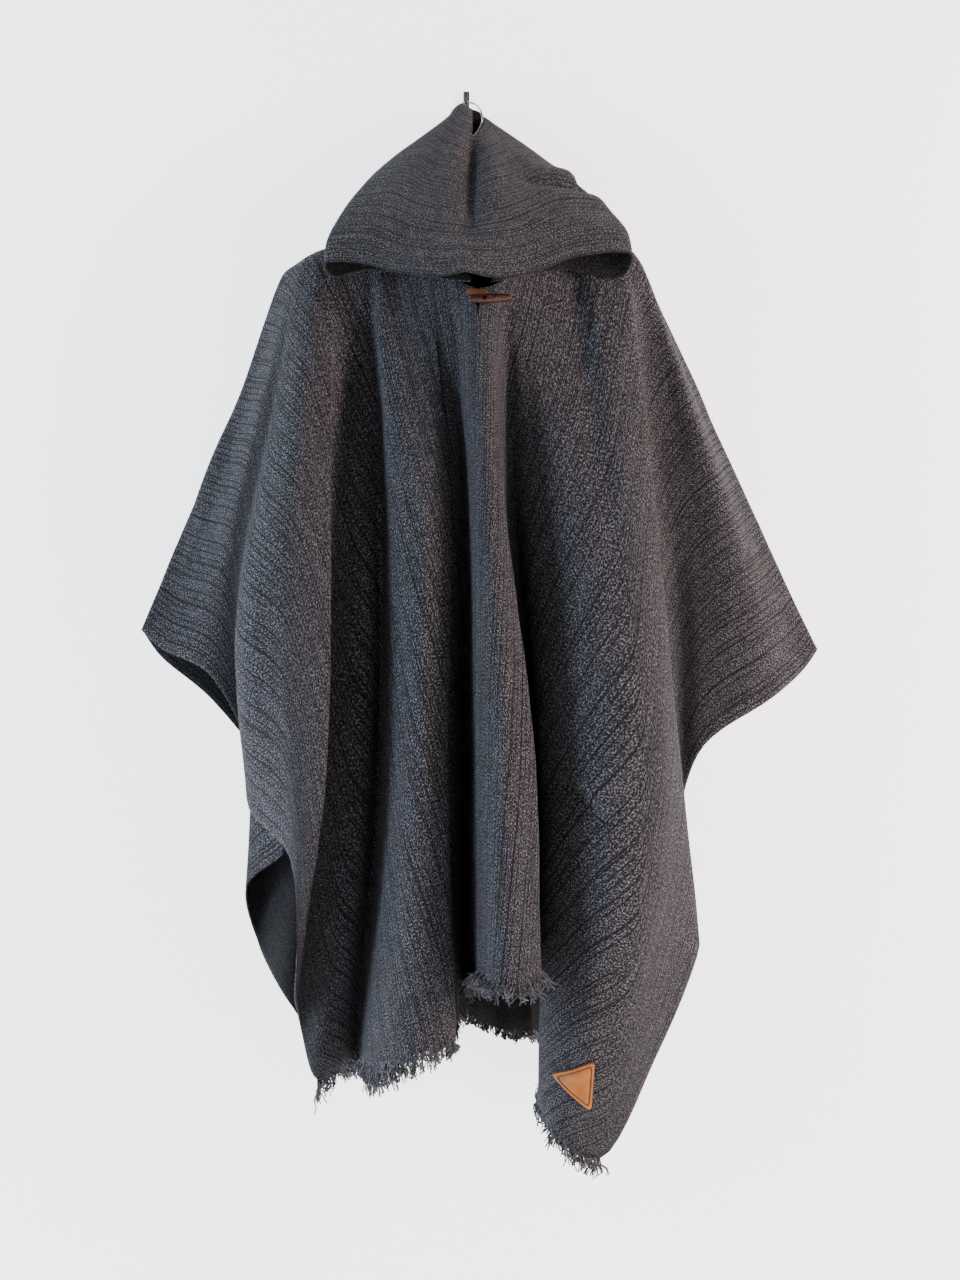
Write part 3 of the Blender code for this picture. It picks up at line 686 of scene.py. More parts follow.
def vectorOf(tree, x=0.0, y=0.0, z=0.0):
    return addNode(tree, "ShaderNodeCombineXYZ", {"X": x, "Y": y, "Z": z}).outputs[0]


def mixColour(tree, share, first, second, blend="MIX"):
    inputs = {0: share, 6: first, 7: second}
    return addNode(tree, "ShaderNodeMix", inputs, data_type="RGBA", blend_type=blend).outputs[2]


def noiseNode(tree, where, scale, detail, roughness=0.5, dimensions="3D"):
    inputs = {"Vector": where, "Scale": scale, "Detail": detail, "Roughness": roughness}
    return addNode(tree, "ShaderNodeTexNoise", inputs, noise_dimensions=dimensions).outputs


def flatNoise(tree, where, scale, detail, roughness=0.5):
    return noiseNode(tree, where, scale, detail, roughness, dimensions="2D")["Fac"]


def rangeNode(tree, value, low, high, toLow=0.0, toHigh=1.0, kind="LINEAR"):
    inputs = {"Value": value, "From Min": low, "From Max": high, "To Min": toLow, "To Max": toHigh}
    return addNode(tree, "ShaderNodeMapRange", inputs, interpolation_type=kind).outputs["Result"]


def bumpNode(tree, height, strength, distance):
    inputs = {"Strength": strength, "Distance": distance, "Height": height}
    return addNode(tree, "ShaderNodeBump", inputs).outputs["Normal"]


def objectPlace(tree):
    return addNode(tree, "ShaderNodeTexCoord").outputs["Object"]


def voronoiNode(tree, inputs, **settings):
    return addNode(tree, "ShaderNodeTexVoronoi", inputs, **settings).outputs["Distance"]


def darkLines(tree, across, spacingMm, width):
    # uneven lines: 1 on a line, 0 off it
    inputs = {"Scale": 1000 / spacingMm, "Randomness": woolLook["unevenness"], "W": across}
    apart = voronoiNode(tree, inputs, voronoi_dimensions="1D", feature="DISTANCE_TO_EDGE")
    core = width * woolLook["lineCore"]
    return rangeNode(tree, apart, core, width, 1.0, 0.0, "SMOOTHSTEP")


def warpLines(tree, cut, across, along):
    # dark twisted yarns that sway a little. A thin one shows only for a stretch at a time
    look = woolLook
    drift = flatNoise(tree, cut, look["swayScale"], detail=1.0)
    twist = mathNode(tree, "PINGPONG", along, look["twistMm"] * mm / 2)
    twist = mathNode(tree, "MULTIPLY", twist, look["twistShare"])
    sway = mathNode(tree, "MULTIPLY", drift, look["sway"])
    bent = mathNode(tree, "ADD", mathNode(tree, "ADD", across, twist), sway)
    thin = darkLines(tree, bent, look["lineMm"], look["lineWidth"])
    bold = darkLines(tree, bent, look["boldLineMm"], look["boldLineWidth"])
    stretched = vectorOf(
        tree,
        mathNode(tree, "MULTIPLY", bent, 1000 / look["lineMm"]),
        mathNode(tree, "MULTIPLY", along, 1000 / look["brokenMm"]),
    )
    broken = flatNoise(tree, stretched, look["brokenScale"], detail=1.0)
    shows = rangeNode(tree, broken, look["brokenFrom"], look["brokenTo"], kind="SMOOTHSTEP")
    thin = mathNode(tree, "MULTIPLY", thin, shows)
    thin = mathNode(tree, "MULTIPLY", thin, look["lineShare"])
    return mathNode(tree, "MAXIMUM", thin, mathNode(tree, "MULTIPLY", bold, look["boldLineShare"]))


def wovenWool(name, depth=1.0):
    look = woolLook
    made, tree, shader = newMaterial(name)
    cut = addNode(tree, "ShaderNodeUVMap", uv_map="cut").outputs["UV"]
    parts = addNode(tree, "ShaderNodeSeparateXYZ", {"Vector": cut}).outputs
    across, along = parts["X"], parts["Y"]
    lines = warpLines(tree, cut, across, along)

    stretch = vectorOf(tree, mathNode(tree, "MULTIPLY", across, look["fleckStretch"]), along)
    fleck = flatNoise(tree, stretch, 800 / look["fleckMm"], detail=2.0, roughness=0.65)
    yarn = rampNode(tree, fleck, [(stop, look[grey]) for stop, grey in look["fleckStops"]])
    patchy = flatNoise(tree, stretch, look["patchScale"], detail=2.0)
    # depth under 1 darkens every tone; the inner face's copy uses it as painted shade
    tones = [tone * depth for tone in look["patchTones"]]
    shade = rangeNode(tree, patchy, *look["patchRange"], *tones)
    ribs = mathNode(tree, "MULTIPLY", along, 2 * math.pi * 1000 / look["ribMm"])
    ribs = mathNode(tree, "SINE", ribs)
    tone = mathNode(tree, "ADD", mathNode(tree, "MULTIPLY", ribs, look["ribTone"]), 1.0)
    tone = mathNode(tree, "MULTIPLY", shade, tone)
    toned = mixColour(tree, 1.0, yarn, vectorOf(tree, tone, tone, tone), "MULTIPLY")

    height = mathNode(tree, "ADD", fleck, mathNode(tree, "MULTIPLY", ribs, look["ribHeight"]))
    sunk = mathNode(tree, "MULTIPLY", lines, look["lineDepth"])
    height = mathNode(tree, "SUBTRACT", height, sunk)
    setShader(
        shader,
        Base_Color=mixColour(tree, lines, toned, toLinear(look["line"])),
        Normal=bumpNode(tree, height, look["bump"], look["bumpHeight"]),
        Roughness=look["roughness"],
        Specular_IOR_Level=0.25,
        Sheen_Weight=0.05,
        Sheen_Roughness=0.5,
        Sheen_Tint=toLinear(look["nap"]),
    )
    return made


def looseYarn(name, darkHex, lightHex):
    # single wool ends of the fringe and the stitches: spun, so they vary along their length
    made, tree, shader = newMaterial(name)
    grain = noiseNode(tree, objectPlace(tree), scale=420.0, detail=2.0)["Fac"]
    setShader(
        shader,
        Base_Color=rampNode(tree, grain, [(0.35, darkHex), (0.65, lightHex)]),
        Normal=bumpNode(tree, grain, strength=0.6, distance=0.0006),
        Roughness=0.92,
        Specular_IOR_Level=0.25,
        Sheen_Weight=0.2,
        Sheen_Roughness=0.5,
    )
    return made


# Leather: pore spacing in millimetres, and the colour where a line is pressed in
leatherLook = {"poreMm": 0.9, "pressed": "#5d3315"}


def vegetableTannedLeather(name, baseHex, darkHex):
    # tanned and pressed: fine pores, darker where it is cut and pressed down
    made, tree, shader = newMaterial(name)
    where = objectPlace(tree)
    inputs = {"Scale": 1000 / leatherLook["poreMm"], "Vector": where}
    pores = voronoiNode(tree, inputs, feature="F1")
    cloudy = noiseNode(tree, where, scale=70.0, detail=3.0)["Fac"]
    pressed = addNode(tree, "ShaderNodeAttribute", attribute_name="pressed").outputs["Fac"]
    base = rampNode(tree, cloudy, [(0.3, darkHex), (0.62, baseHex)])
    setShader(
        shader,
        Base_Color=mixColour(tree, pressed, base, toLinear(leatherLook["pressed"])),
        Normal=bumpNode(tree, pores, strength=0.35, distance=0.0004),
        Roughness=0.58,
        Specular_IOR_Level=0.4,
    )
    return made


def stainedWood(name):
    # turned and stained hardwood: long fine grain along the spindle
    made, tree, shader = newMaterial(name)
    inputs = {"Scale": (60.0, 900.0, 900.0), "Vector": objectPlace(tree)}
    drawnOut = addNode(tree, "ShaderNodeMapping", inputs).outputs["Vector"]
    grain = noiseNode(tree, drawnOut, scale=1.0, detail=4.0, roughness=0.6)["Fac"]
    stops = [(0.32, "#180806"), (0.5, "#3a1810"), (0.7, "#59291b")]
    setShader(
        shader,
        Base_Color=rampNode(tree, grain, stops),
        Normal=bumpNode(tree, grain, strength=0.25, distance=0.0004),
        Roughness=0.42,
        Coat_Weight=0.15,
        Coat_Roughness=0.3,
    )
    return made


def metal(name, colourHex, roughness, metallic, grainScale):
    # drawn or enamelled steel: an even face whose gloss varies a little
    made, tree, shader = newMaterial(name)
    grain = noiseNode(tree, objectPlace(tree), scale=grainScale, detail=3.0)["Fac"]
    setShader(
        shader,
        Base_Color=toLinear(colourHex),
        Roughness=rangeNode(tree, grain, 0.0, 1.0, roughness * 0.75, roughness * 1.3),
        Normal=bumpNode(tree, grain, strength=0.12, distance=0.0002),
        Metallic=metallic,
    )
    return made


bodyWool = wovenWool("hand-woven charcoal wool")
# the inner face's copy is a quarter as bright: painted shade for the dark insides of the flap, hood
# and back
innerShadeWool = wovenWool("hand-woven charcoal wool, darker inner face", depth=0.25)
fringeYarn = looseYarn("spun charcoal wool ends", "#17181b", "#6a6b71")
seamThread = looseYarn("dark wool seam thread", "#101114", "#2c2d31")
patchLeather = vegetableTannedLeather("vegetable-tanned leather, pressed", "#b5702f", "#99591f")
tabLeather = vegetableTannedLeather("vegetable-tanned leather, cut", "#5e3a24", "#442818")
toggleTimber = stainedWood("turned hardwood, stained")
ringSteel = metal("drawn steel wire, bright", "#c9cbce", 0.2, 1.0, 300.0)
hookIron = metal("steel, matt black enamel", "#0d0d0f", 0.5, 0.0, 500.0)
print("materials made")


# Body

mesh, frontGrid, backGrid, frontPlaces, backPlaces = bodyMesh()
body = addObject("bodyCloth", mesh, bodyWool)
normals = vertexValues(mesh, "normal")
points = vertexValues(mesh, "co")
heights = creaseHeight(points, frontCreases) * (normals[:, 1] < -bodyShape["facing"])
heights += creaseHeight(points, backCreases) * (normals[:, 1] > bodyShape["facing"])
wave = undulate(points, bodyShape["undulationSize"], 3)
fine = undulate(points, bodyShape["undulationSize"] / 3, 7) * bodyShape["fineShare"]
calm = np.clip((bodyShape["calmFrom"] - points[:, 2]) / bodyShape["calmOver"], 0, 1)
heights += (wave + fine) * bodyShape["undulation"] * calm
movedAlong(mesh, normals, heights)
giveWall(body, bodyShape["thickness"], innerShadeWool)
strips = ("body_front_left", "body_front_middle", "body_front_right")
strips += ("body_back_left", "body_back_right")
place(body, "wool", *strips)
print("body cloth made:", len(body.data.polygons))


# Hood

# Steps between lines and down each line, how far down a line bulges, and the two gapes at
# the peak that the ring passes through, in columns and rows. The cut is measured across
# at one row, cutRow, counted from the foot
hoodShape = {
    "across": 10,
    "down": (24, 14, 10),
    "bulgeAt": 0.7,
    "thickness": 0.0024,
    "gapeBehind": (85, 100),
    "gapeRows": 8,
    "gapeFront": 24,
    "gapeSlope": 3,
    "cutRow": -8,
    "facing": 0.25,
    "undulation": 0.0015,
    "undulationSize": 0.05,
    "calmFrom": -0.04,
    "calmOver": 0.04,
}


def hoodGrid(lines, side):
    columns = [np.array([row[k] for row in lines], float) for k in (1, 2, 3, 4)]
    start, middle, bulge, foot = columns
    low = middle + (foot - middle) * hoodShape["bulgeAt"] + bulge
    rows = splineAt(np.stack([start, middle, low, foot]), stepPlaces(hoodShape["down"]))
    places = stepPlaces([hoodShape["across"]] * (len(lines) - 1))
    grid = splineAt(rows.transpose(1, 0, 2), places)
    # the warp runs parallel to the brim, so the cut's first direction is down the hood
    walked = walkedAlong(grid, 1)
    around = walkedAlong(grid, 0)[:, hoodShape["cutRow"], None]
    cut = np.stack([(walked[:, -1:] - walked) * mm, side * around * mm + 0 * walked], axis=2)
    return grid * mm, cut


def hoodMesh():
    left, leftCut = hoodGrid(hoodLeftLines, -1)
    right, rightCut = hoodGrid(hoodRightLines, 1)
    across, down = left.shape[:2]
    first, last = hoodShape["gapeBehind"]

    def behindRing(i, j):
        return first <= i <= last and j < hoodShape["gapeRows"]

    def besideSeam(i, j):
        return i + hoodShape["gapeSlope"] * j < hoodShape["gapeFront"]

    faces = gridFaces(across, down, skip=behindRing)
    other = gridFaces(across, down, first=across * down, skip=besideSeam)
    turned = [True] * len(faces) + [False] * len(other)
    cuts = (leftCut, rightCut)
    return joinedMesh("hoodCloth", (left, right), cuts, faces + other, turned), left, right


# The seam's valley, the step on the right and soft troughs.
# columns: from (across, height), to (across, height), depth, half width
hoodCreases = (
    ((9, -40), (6, -284), -3.6, 9),
    ((-8, -60), (-26, -170), 2.6, 12),
    ((-24, -70), (-70, -200), -3.0, 13),
    ((-60, -110), (-120, -210), 2.2, 16),
    ((-40, -200), (-110, -245), -1.6, 12),
    ((30, -60), (42, -190), 3.0, 12),
    ((60, -80), (84, -180), -2.6, 13),
    ((84, -122), (180, -132), 6.0, 9),
    ((76, -142), (190, -150), -9.0, 7),
    ((92, -158), (210, -172), 3.0, 10),
    ((60, -200), (130, -214), 2.0, 13),
    ((110, -190), (178, -214), 2.4, 12),
)
mesh, hoodLeft, hoodRight = hoodMesh()
hood = addObject("hoodCloth", mesh, bodyWool)
normals = vertexValues(mesh, "normal")
points = vertexValues(mesh, "co")
heights = creaseHeight(points, hoodCreases) * (normals[:, 1] < hoodShape["facing"])
heights += undulate(points, hoodShape["undulationSize"], 11) * hoodShape["undulation"]
calm = np.clip((hoodShape["calmFrom"] - points[:, 2]) / hoodShape["calmOver"], 0, 1)
movedAlong(mesh, normals, heights * calm)
giveWall(hood, hoodShape["thickness"], innerShadeWool)
place(hood, "wool", "hood_left", "hood_right")
print("hood made:", len(hood.data.polygons))


# Fringe: Geometry Nodes grow curly ends from each hem

# Metres, except: lengths as the shortest and longest share, thinner as the share that
# the tip loses, the scales and the middle of the noises, and spread in radians, which
# multiplies the lean
fringeShape = {
    "pitch": 0.00045,
    "length": 0.024,
    "lengths": (0.6, 1.15),
    "radius": 0.0008,
    "thinner": 0.4,
    "clump": 0.013,
    "clumpScale": 70.0,
    "curl": 0.0055,
    "curlScale": 260.0,
    "swirlMiddle": (0.5, 0.5, 0.45),
    "spread": 0.22,
    "leanFrom": (-1, -1, -3.14),
    "leanTo": (1, 1, 3.14),
    "lift": 0.003,
    "sides": 3,
    "points": 7,
}


def curveTree(name, numbers, materialName):
    # a tree with named inputs that starts with points at an even pitch along a path
    tree = bpy.data.node_groups.new(name, "GeometryNodeTree")
    sockets = [("Geometry", "Geometry", None)]
    sockets += [(label, "Float", value) for label, value in numbers.items()]
    sockets += [("Seed", "Int", 1), (materialName, "Material", None)]
    for label, kind, value in sockets:
        socket = tree.interface.new_socket(label, in_out="INPUT", socket_type="NodeSocket" + kind)
        if value is not None:
            socket.default_value = value
    tree.interface.new_socket("Geometry", in_out="OUTPUT", socket_type="NodeSocketGeometry")
    given = addNode(tree, "NodeGroupInput").outputs
    path = addNode(tree, "GeometryNodeMeshToCurve", {"Mesh": given["Geometry"]}).outputs[0]
    inputs = {"Curve": path, "Length": given["Pitch"]}
    points = addNode(tree, "GeometryNodeResampleCurve", inputs, mode="LENGTH").outputs[0]
    return tree, given, points


def realized(tree, geometry):
    return addNode(tree, "GeometryNodeRealizeInstances", {"Geometry": geometry}).outputs[0]


def closeTree(tree, geometry, material):
    inputs = {"Geometry": realized(tree, geometry), "Material": material}
    coloured = addNode(tree, "GeometryNodeSetMaterial", inputs).outputs[0]
    addNode(tree, "NodeGroupOutput", {0: coloured})
    return tree


def instancesOn(tree, points, instance, rotation, scale):
    inputs = {"Points": points, "Instance": instance, "Rotation": rotation, "Scale": scale}
    return addNode(tree, "GeometryNodeInstanceOnPoints", inputs).outputs[0]


def randomNode(tree, seed, low, high, kind="FLOAT"):
    # the node has its own sockets for each kind: vectors come first, then numbers
    first, output = {"FLOAT_VECTOR": (0, 0), "FLOAT": (2, 1)}[kind]
    inputs = {"Seed": seed, first: low, first + 1: high}
    return addNode(tree, "FunctionNodeRandomValue", inputs, data_type=kind).outputs[output]


def namedNumber(tree, name):
    inputs = {"Name": name}
    return addNode(tree, "GeometryNodeInputNamedAttribute", inputs, data_type="FLOAT").outputs[0]


def fringeTree():
    shape = fringeShape
    labels = ("Pitch", "Length", "Radius", "Clump", "Curl", "Spread")
    numbers = {label: shape[label.lower()] for label in labels}
    tree, given, roots = curveTree("fringe ends", numbers, "Yarn")
    line = addNode(tree, "GeometryNodeCurvePrimitiveLine", {"End": (0, 0, -1)}).outputs[0]
    inputs = {"Curve": line, "Count": shape["points"]}
    strand = addNode(tree, "GeometryNodeResampleCurve", inputs, mode="COUNT").outputs[0]
    limits = (shape["leanFrom"], shape["leanTo"])
    lean = randomNode(tree, given["Seed"], *limits, kind="FLOAT_VECTOR")
    wide = mathNode(tree, "MULTIPLY", given["Spread"], namedNumber(tree, "flare"))
    turned = vectorMath(tree, "MULTIPLY", lean, vectorOf(tree, wide, wide, 1.0))
    scale = randomNode(tree, given["Seed"], *shape["lengths"])
    scale = mathNode(tree, "MULTIPLY", scale, namedNumber(tree, "reach"))
    scale = mathNode(tree, "MULTIPLY", scale, given["Length"])
    ends = realized(tree, instancesOn(tree, roots, strand, turned, scale))

    # ends lean together in tufts, and each one curls. A noise swings by half of what it is
    # given, so it is doubled
    along = addNode(tree, "GeometryNodeSplineParameter").outputs["Factor"]
    where = addNode(tree, "GeometryNodeInputPosition").outputs[0]
    shifts = []
    for label in ("Clump", "Curl"):
        swirl = noiseNode(tree, where, shape[label.lower() + "Scale"], 1.0)["Color"]
        centred = vectorMath(tree, "SUBTRACT", swirl, shape["swirlMiddle"])
        grown = mathNode(tree, "MULTIPLY", along, given[label])
        grown = mathNode(tree, "MULTIPLY", grown, 2.0)
        inputs = {0: centred, "Scale": grown}
        shifts.append(addNode(tree, "ShaderNodeVectorMath", inputs, operation="SCALE").outputs[0])
    inputs = {"Geometry": ends, "Offset": vectorMath(tree, "ADD", *shifts)}
    bent = addNode(tree, "GeometryNodeSetPosition", inputs).outputs[0]
    thin = mathNode(tree, "MULTIPLY_ADD", along, -shape["thinner"], 1.0)
    inputs = {"Curve": bent, "Radius": thin}
    tapered = addNode(tree, "GeometryNodeSetCurveRadius", inputs).outputs[0]
    inputs = {"Resolution": shape["sides"], "Radius": given["Radius"]}
    ring = addNode(tree, "GeometryNodeCurvePrimitiveCircle", inputs).outputs[0]
    inputs = {"Curve": tapered, "Profile Curve": ring, "Fill Caps": True}
    solid = addNode(tree, "GeometryNodeCurveToMesh", inputs).outputs[0]
    return closeTree(tree, solid, given["Yarn"])


def socketId(tree, name):
    for item in tree.interface.items_tree:
        if item.item_type == "SOCKET" and item.in_out == "INPUT" and item.name == name:
            return item.identifier


def pathObject(name, points, reach=None, flare=None):
    mesh = bpy.data.meshes.new(name)
    mesh.from_pydata(points.tolist(), [(k, k + 1) for k in range(len(points) - 1)], [])
    for label, values in (("reach", reach), ("flare", flare)):
        layer = mesh.attributes.new(label, "FLOAT", "POINT")
        layer.data.foreach_set("value", np.ones(len(points)) if values is None else values)
    return addObject(name, mesh)


def grow(obj, tree, material, materialInput, **values):
    grown = obj.modifiers.new("grown", "NODES")
    grown.node_group = tree
    for name, value in values.items():
        grown[socketId(tree, name)] = value
    grown[socketId(tree, materialInput)] = material
    finishMesh(obj)
    if not obj.data.materials:
        obj.data.materials.append(material)
    return obj


def hemPath(grid, places, lines, first, last):
    # the hem's points from one named line to another, with their places
    names = [row[0] for row in lines]
    least = 1e-6
    inside = (places >= names.index(first) - least) & (places <= names.index(last) + least)
    return grid[inside, -1], places[inside]


def readAt(places, lines, rows):
    # the rows' values, read between the named lines
    names = [row[0] for row in lines]
    return np.interp(places, [names.index(name) for name, _ in rows], [value for _, value in rows])


# How long the ends are along each hem, as a share of the full length
frontReach = (
    ("front left corner", 1.6),
    ("left hollow end", 0.35),
    ("left crevice", 0.4),
    ("second ridge side", 1.7),
    ("second ridge crest", 1.2),
    ("second ridge edge", 0.8),
    ("centre ridge side", 1.0),
    ("centre front", 1.1),
    ("centre ridge edge", 1.0),
    ("centre crevice", 0.7),
    ("right panel side", 1.0),
    ("front right corner", 0.95),
)
# How far they spread: at the centre fold they stand out all round
frontFlare = (
    ("front left corner", 1.0),
    ("middle crevice", 1.0),
    ("centre ridge side", 3.4),
    ("centre ridge tuck", 3.4),
    ("centre crevice", 1.0),
    ("front right corner", 1.0),
)
backReach = (("back left corner", 0.9), ("centre back", 0.55), ("back right corner", 0.9))


def addFringe(name, node, seed, hem, lines, reach, flare=None):
    path, span = hem
    reach = readAt(span, lines, reach)
    flare = flare and readAt(span, lines, flare)
    obj = pathObject(name, path + (0, 0, fringeShape["lift"]), reach, flare)
    grow(obj, fringe, fringeYarn, "Yarn", Seed=seed)
    place(obj, "wool", node)
    print(name, "grown:", len(obj.data.polygons))


fringe = fringeTree()
hem = hemPath(frontGrid, frontPlaces, frontLines, "front left corner", "front right corner")
addFringe("fringeFront", "fringe_front", 5, hem, frontLines, frontReach, frontFlare)
hem = hemPath(backGrid, backPlaces, backLines, "back left corner", "back right corner")
addFringe("fringeBack", "fringe_back", 9, hem, backLines, backReach)


# Stitches: Geometry Nodes lay a row of short threads along a path

stitchShape = {
    "pitch": 0.0052,
    "length": 0.0034,
    "radius": 0.00055,
    "wobble": 0.15,
    "segments": 8,
    "rings": 6,
}


def stitchTree():
    shape = stitchShape
    numbers = {"Pitch": shape["pitch"], "Stitch length": shape["length"]}
    numbers |= {"Thread radius": shape["radius"], "Turn": 0.0}
    tree, given, points = curveTree("stitch row", numbers, "Thread")
    inputs = {"Segments": shape["segments"], "Rings": shape["rings"], "Radius": 1.0}
    bead = addNode(tree, "GeometryNodeMeshUVSphere", inputs).outputs[0]
    half = mathNode(tree, "MULTIPLY", given["Stitch length"], 0.5)
    size = vectorOf(tree, half, given["Thread radius"], given["Thread radius"])
    tangent = addNode(tree, "GeometryNodeInputTangent").outputs[0]
    facing = addNode(tree, "FunctionNodeAlignRotationToVector", {"Vector": tangent}, axis="X")
    wobble = randomNode(tree, given["Seed"], -shape["wobble"], shape["wobble"])
    about = vectorOf(tree, y=mathNode(tree, "ADD", wobble, given["Turn"]))
    inputs = {0: facing.outputs[0], 1: about}
    rotated = addNode(tree, "FunctionNodeRotateRotation", inputs, rotation_space="LOCAL").outputs[0]
    return closeTree(tree, instancesOn(tree, points, bead, rotated, size), given["Thread"])


stitches = stitchTree()


def stitchRow(name, points, **values):
    row = pathObject(name, np.asarray(points))
    grow(row, stitches, seamThread, "Thread", **values)
    return place(row, "wool")


# Loops run along the brim from the top seam to its underside, the fifth line after it.
# The top seam's stitches start twelve rows below the peak and lie just in front of it
edgeLoops = {"Pitch": 0.0032, "Stitch length": 0.0034, "Thread radius": 0.0017}
brim = 5 * hoodShape["across"]
seamFrom = 12
seamOut = (0, -0.0012, 0)
stitchRow("brimLoopsLeft", hoodLeft[:brim, -1], Seed=3, **edgeLoops)
stitchRow("brimLoopsRight", hoodRight[:brim, -1], Seed=4, **edgeLoops)
stitchRow("topSeamStitches", hoodLeft[0, seamFrom:-1] + seamOut, Turn=0.5, Seed=6)
print("stitches laid")


# Small solids, made as rings of points


def ringFaces(bm, rings):
    # four-sided faces between each ring of points and the next
    for first, second in zip(rings, rings[1:]):
        for k in range(len(first)):
            n = (k + 1) % len(first)
            bm.faces.new((first[k], first[n], second[n], second[k]))


def circleOf(count):
    angles = [2 * math.pi * k / count for k in range(count)]
    return [(math.cos(angle), math.sin(angle)) for angle in angles]


def meshFrom(bm, name, matrix=None):
    if matrix:
        bmesh.ops.transform(bm, matrix=matrix, verts=bm.verts)
    bmesh.ops.recalc_face_normals(bm, faces=bm.faces)
    mesh = bpy.data.meshes.new(name)
    bm.to_mesh(mesh)
    bm.free()
    mesh.shade_smooth()
    return mesh


# Leather patch, left bare, with a pressed border line. Corners are across and height in
# millimetres, wall and lift too. columns of sections: share of the way out from the
# middle, height as a share of the wall, how darkly pressed
patchShape = {
    "corners": ((100, -1211), (151, -1190), (147, -1252)),
    "round": 0.14,
    "cornerSteps": 6,
    "sideSteps": 10,
    "wall": 1.7,
    "lift": 1.5,
    "under": 0.4,
    "sections": (
        (1.0, 0.0, 0.9),
        (0.985, 0.75, 0.6),
        (0.94, 1.0, 0.0),
        (0.84, 1.0, 0.15),
        (0.82, 0.6, 0.95),
        (0.79, 0.55, 1.0),
        (0.76, 0.6, 0.95),
        (0.74, 1.0, 0.15),
        (0.5, 1.0, 0.0),
        (0.25, 1.0, 0.0),
    ),
}


def patchOutline():
    shape = patchShape
    corners = [Vector(corner) for corner in shape["corners"]]
    outline = []
    for k, corner in enumerate(corners):
        following = corners[(k + 1) % 3]
        back = corner.lerp(corners[k - 1], shape["round"])
        on = corner.lerp(following, shape["round"])
        for n in range(shape["cornerSteps"] + 1):
            f = n / shape["cornerSteps"]
            outline.append(back.lerp(corner, f).lerp(corner.lerp(on, f), f))
        far = following.lerp(corner, shape["round"])
        for n in range(1, shape["sideSteps"]):
            outline.append(on.lerp(far, n / shape["sideSteps"]))
    return outline, sum(corners, Vector((0, 0))) / 3


def makePatch():
    # each point is found on the cloth, then lifted off it along one common direction
    shape = patchShape
    outline, centre = patchOutline()
    cloth = body.evaluated_get(bpy.context.evaluated_depsgraph_get())
    inFront = -0.4
    found = []
    facing = Vector()
    for share in [section[0] for section in shape["sections"]] + [0.0]:
        row = []
        for spot in outline:
            flat = centre.lerp(spot, share)
            start = Vector((flat.x * mm, inFront, flat.y * mm))
            _, hit, normal, _ = cloth.ray_cast(start, Vector((0, 1, 0)))
            row.append(hit)
            facing += normal
        found.append(row)
    facing.normalize()

    bm = bmesh.new()
    pressed = bm.verts.layers.float.new("pressed")
    under = facing * shape["lift"] * mm * shape["under"]
    rows = [[bm.verts.new(spot + under) for spot in found[0]]]
    for spots, (_, height, dark) in zip(found, shape["sections"]):
        out = facing * (shape["lift"] + shape["wall"] * height) * mm
        rows.append([bm.verts.new(spot + out) for spot in spots])
        for vert in rows[-1]:
            vert[pressed] = dark
    middle = bm.verts.new(found[-1][0] + facing * (shape["lift"] + shape["wall"]) * mm)
    ringFaces(bm, rows)
    last = rows[-1]
    for k, vert in enumerate(last):
        bm.faces.new((vert, last[(k + 1) % len(last)], middle))
    bm.faces.new(rows[0][::-1])
    return addObject("leatherPatch", meshFrom(bm, "leatherPatch"), patchLeather)


place(makePatch(), "leather", "leather_patch")
print("patch made")


# Toggle: a turned spindle with two thread holes, and the leather tab beside it
toggleShape = {
    "centre": (0.030, -0.1973, -0.304),
    "length": 0.050,
    "radius": 0.0056,
    "endRadius": 0.0026,
    "swell": 0.8,
    "rimSteepness": 14,
    "rimStart": 0.25,
    "hole": 0.0026,
    "drillLength": 0.03,
    "drillSides": 24,
    "pitch": 0.013,
    "along": 32,
    "around": 48,
    "tilt": math.radians(-2.5),
    "sharp": math.radians(35),
}
tabShape = {"bevel": 0.0009, "segments": 4, "sharp": math.radians(40)}


def drillHole(obj, matrix):
    shape = toggleShape
    bm = bmesh.new()
    size = {"radius1": shape["hole"], "radius2": shape["hole"], "depth": shape["drillLength"]}
    bmesh.ops.create_cone(bm, cap_ends=True, segments=shape["drillSides"], matrix=matrix, **size)
    mesh = bpy.data.meshes.new("drill")
    bm.to_mesh(mesh)
    bm.free()
    drill = addObject("drill", mesh, toggleTimber)
    bored = obj.modifiers.new("bored", "BOOLEAN")
    bored.object = drill
    finishMesh(obj)
    bpy.data.objects.remove(drill)


def makeToggle():
    shape = toggleShape
    bm = bmesh.new()
    rings = []
    for n in range(shape["along"] + 1):
        f = -1 + 2 * n / shape["along"]
        swell = (shape["radius"] - shape["endRadius"]) * (1 - f * f) ** shape["swell"]
        rim = min(1.0, (1 - abs(f)) * shape["rimSteepness"] + shape["rimStart"]) ** 0.5
        radius = (shape["endRadius"] + swell) * rim
        x = f * shape["length"] / 2
        ring = [bm.verts.new((x, radius * y, radius * z)) for y, z in circleOf(shape["around"])]
        rings.append(ring)
    ringFaces(bm, rings)
    bm.faces.new(rings[0][::-1])
    bm.faces.new(rings[-1])
    turn = Matrix.Translation(shape["centre"]) @ Matrix.Rotation(shape["tilt"], 4, "Y")
    toggle = addObject("toggleWood", meshFrom(bm, "toggle", turn), toggleTimber)
    for side in (-1, 1):
        spot = Matrix.Translation((side * shape["pitch"] / 2, 0, 0))
        drillHole(toggle, turn @ spot @ Matrix.Rotation(math.pi / 2, 4, "X"))
    toggle.data.set_sharp_from_angle(angle=shape["sharp"])
    return toggle


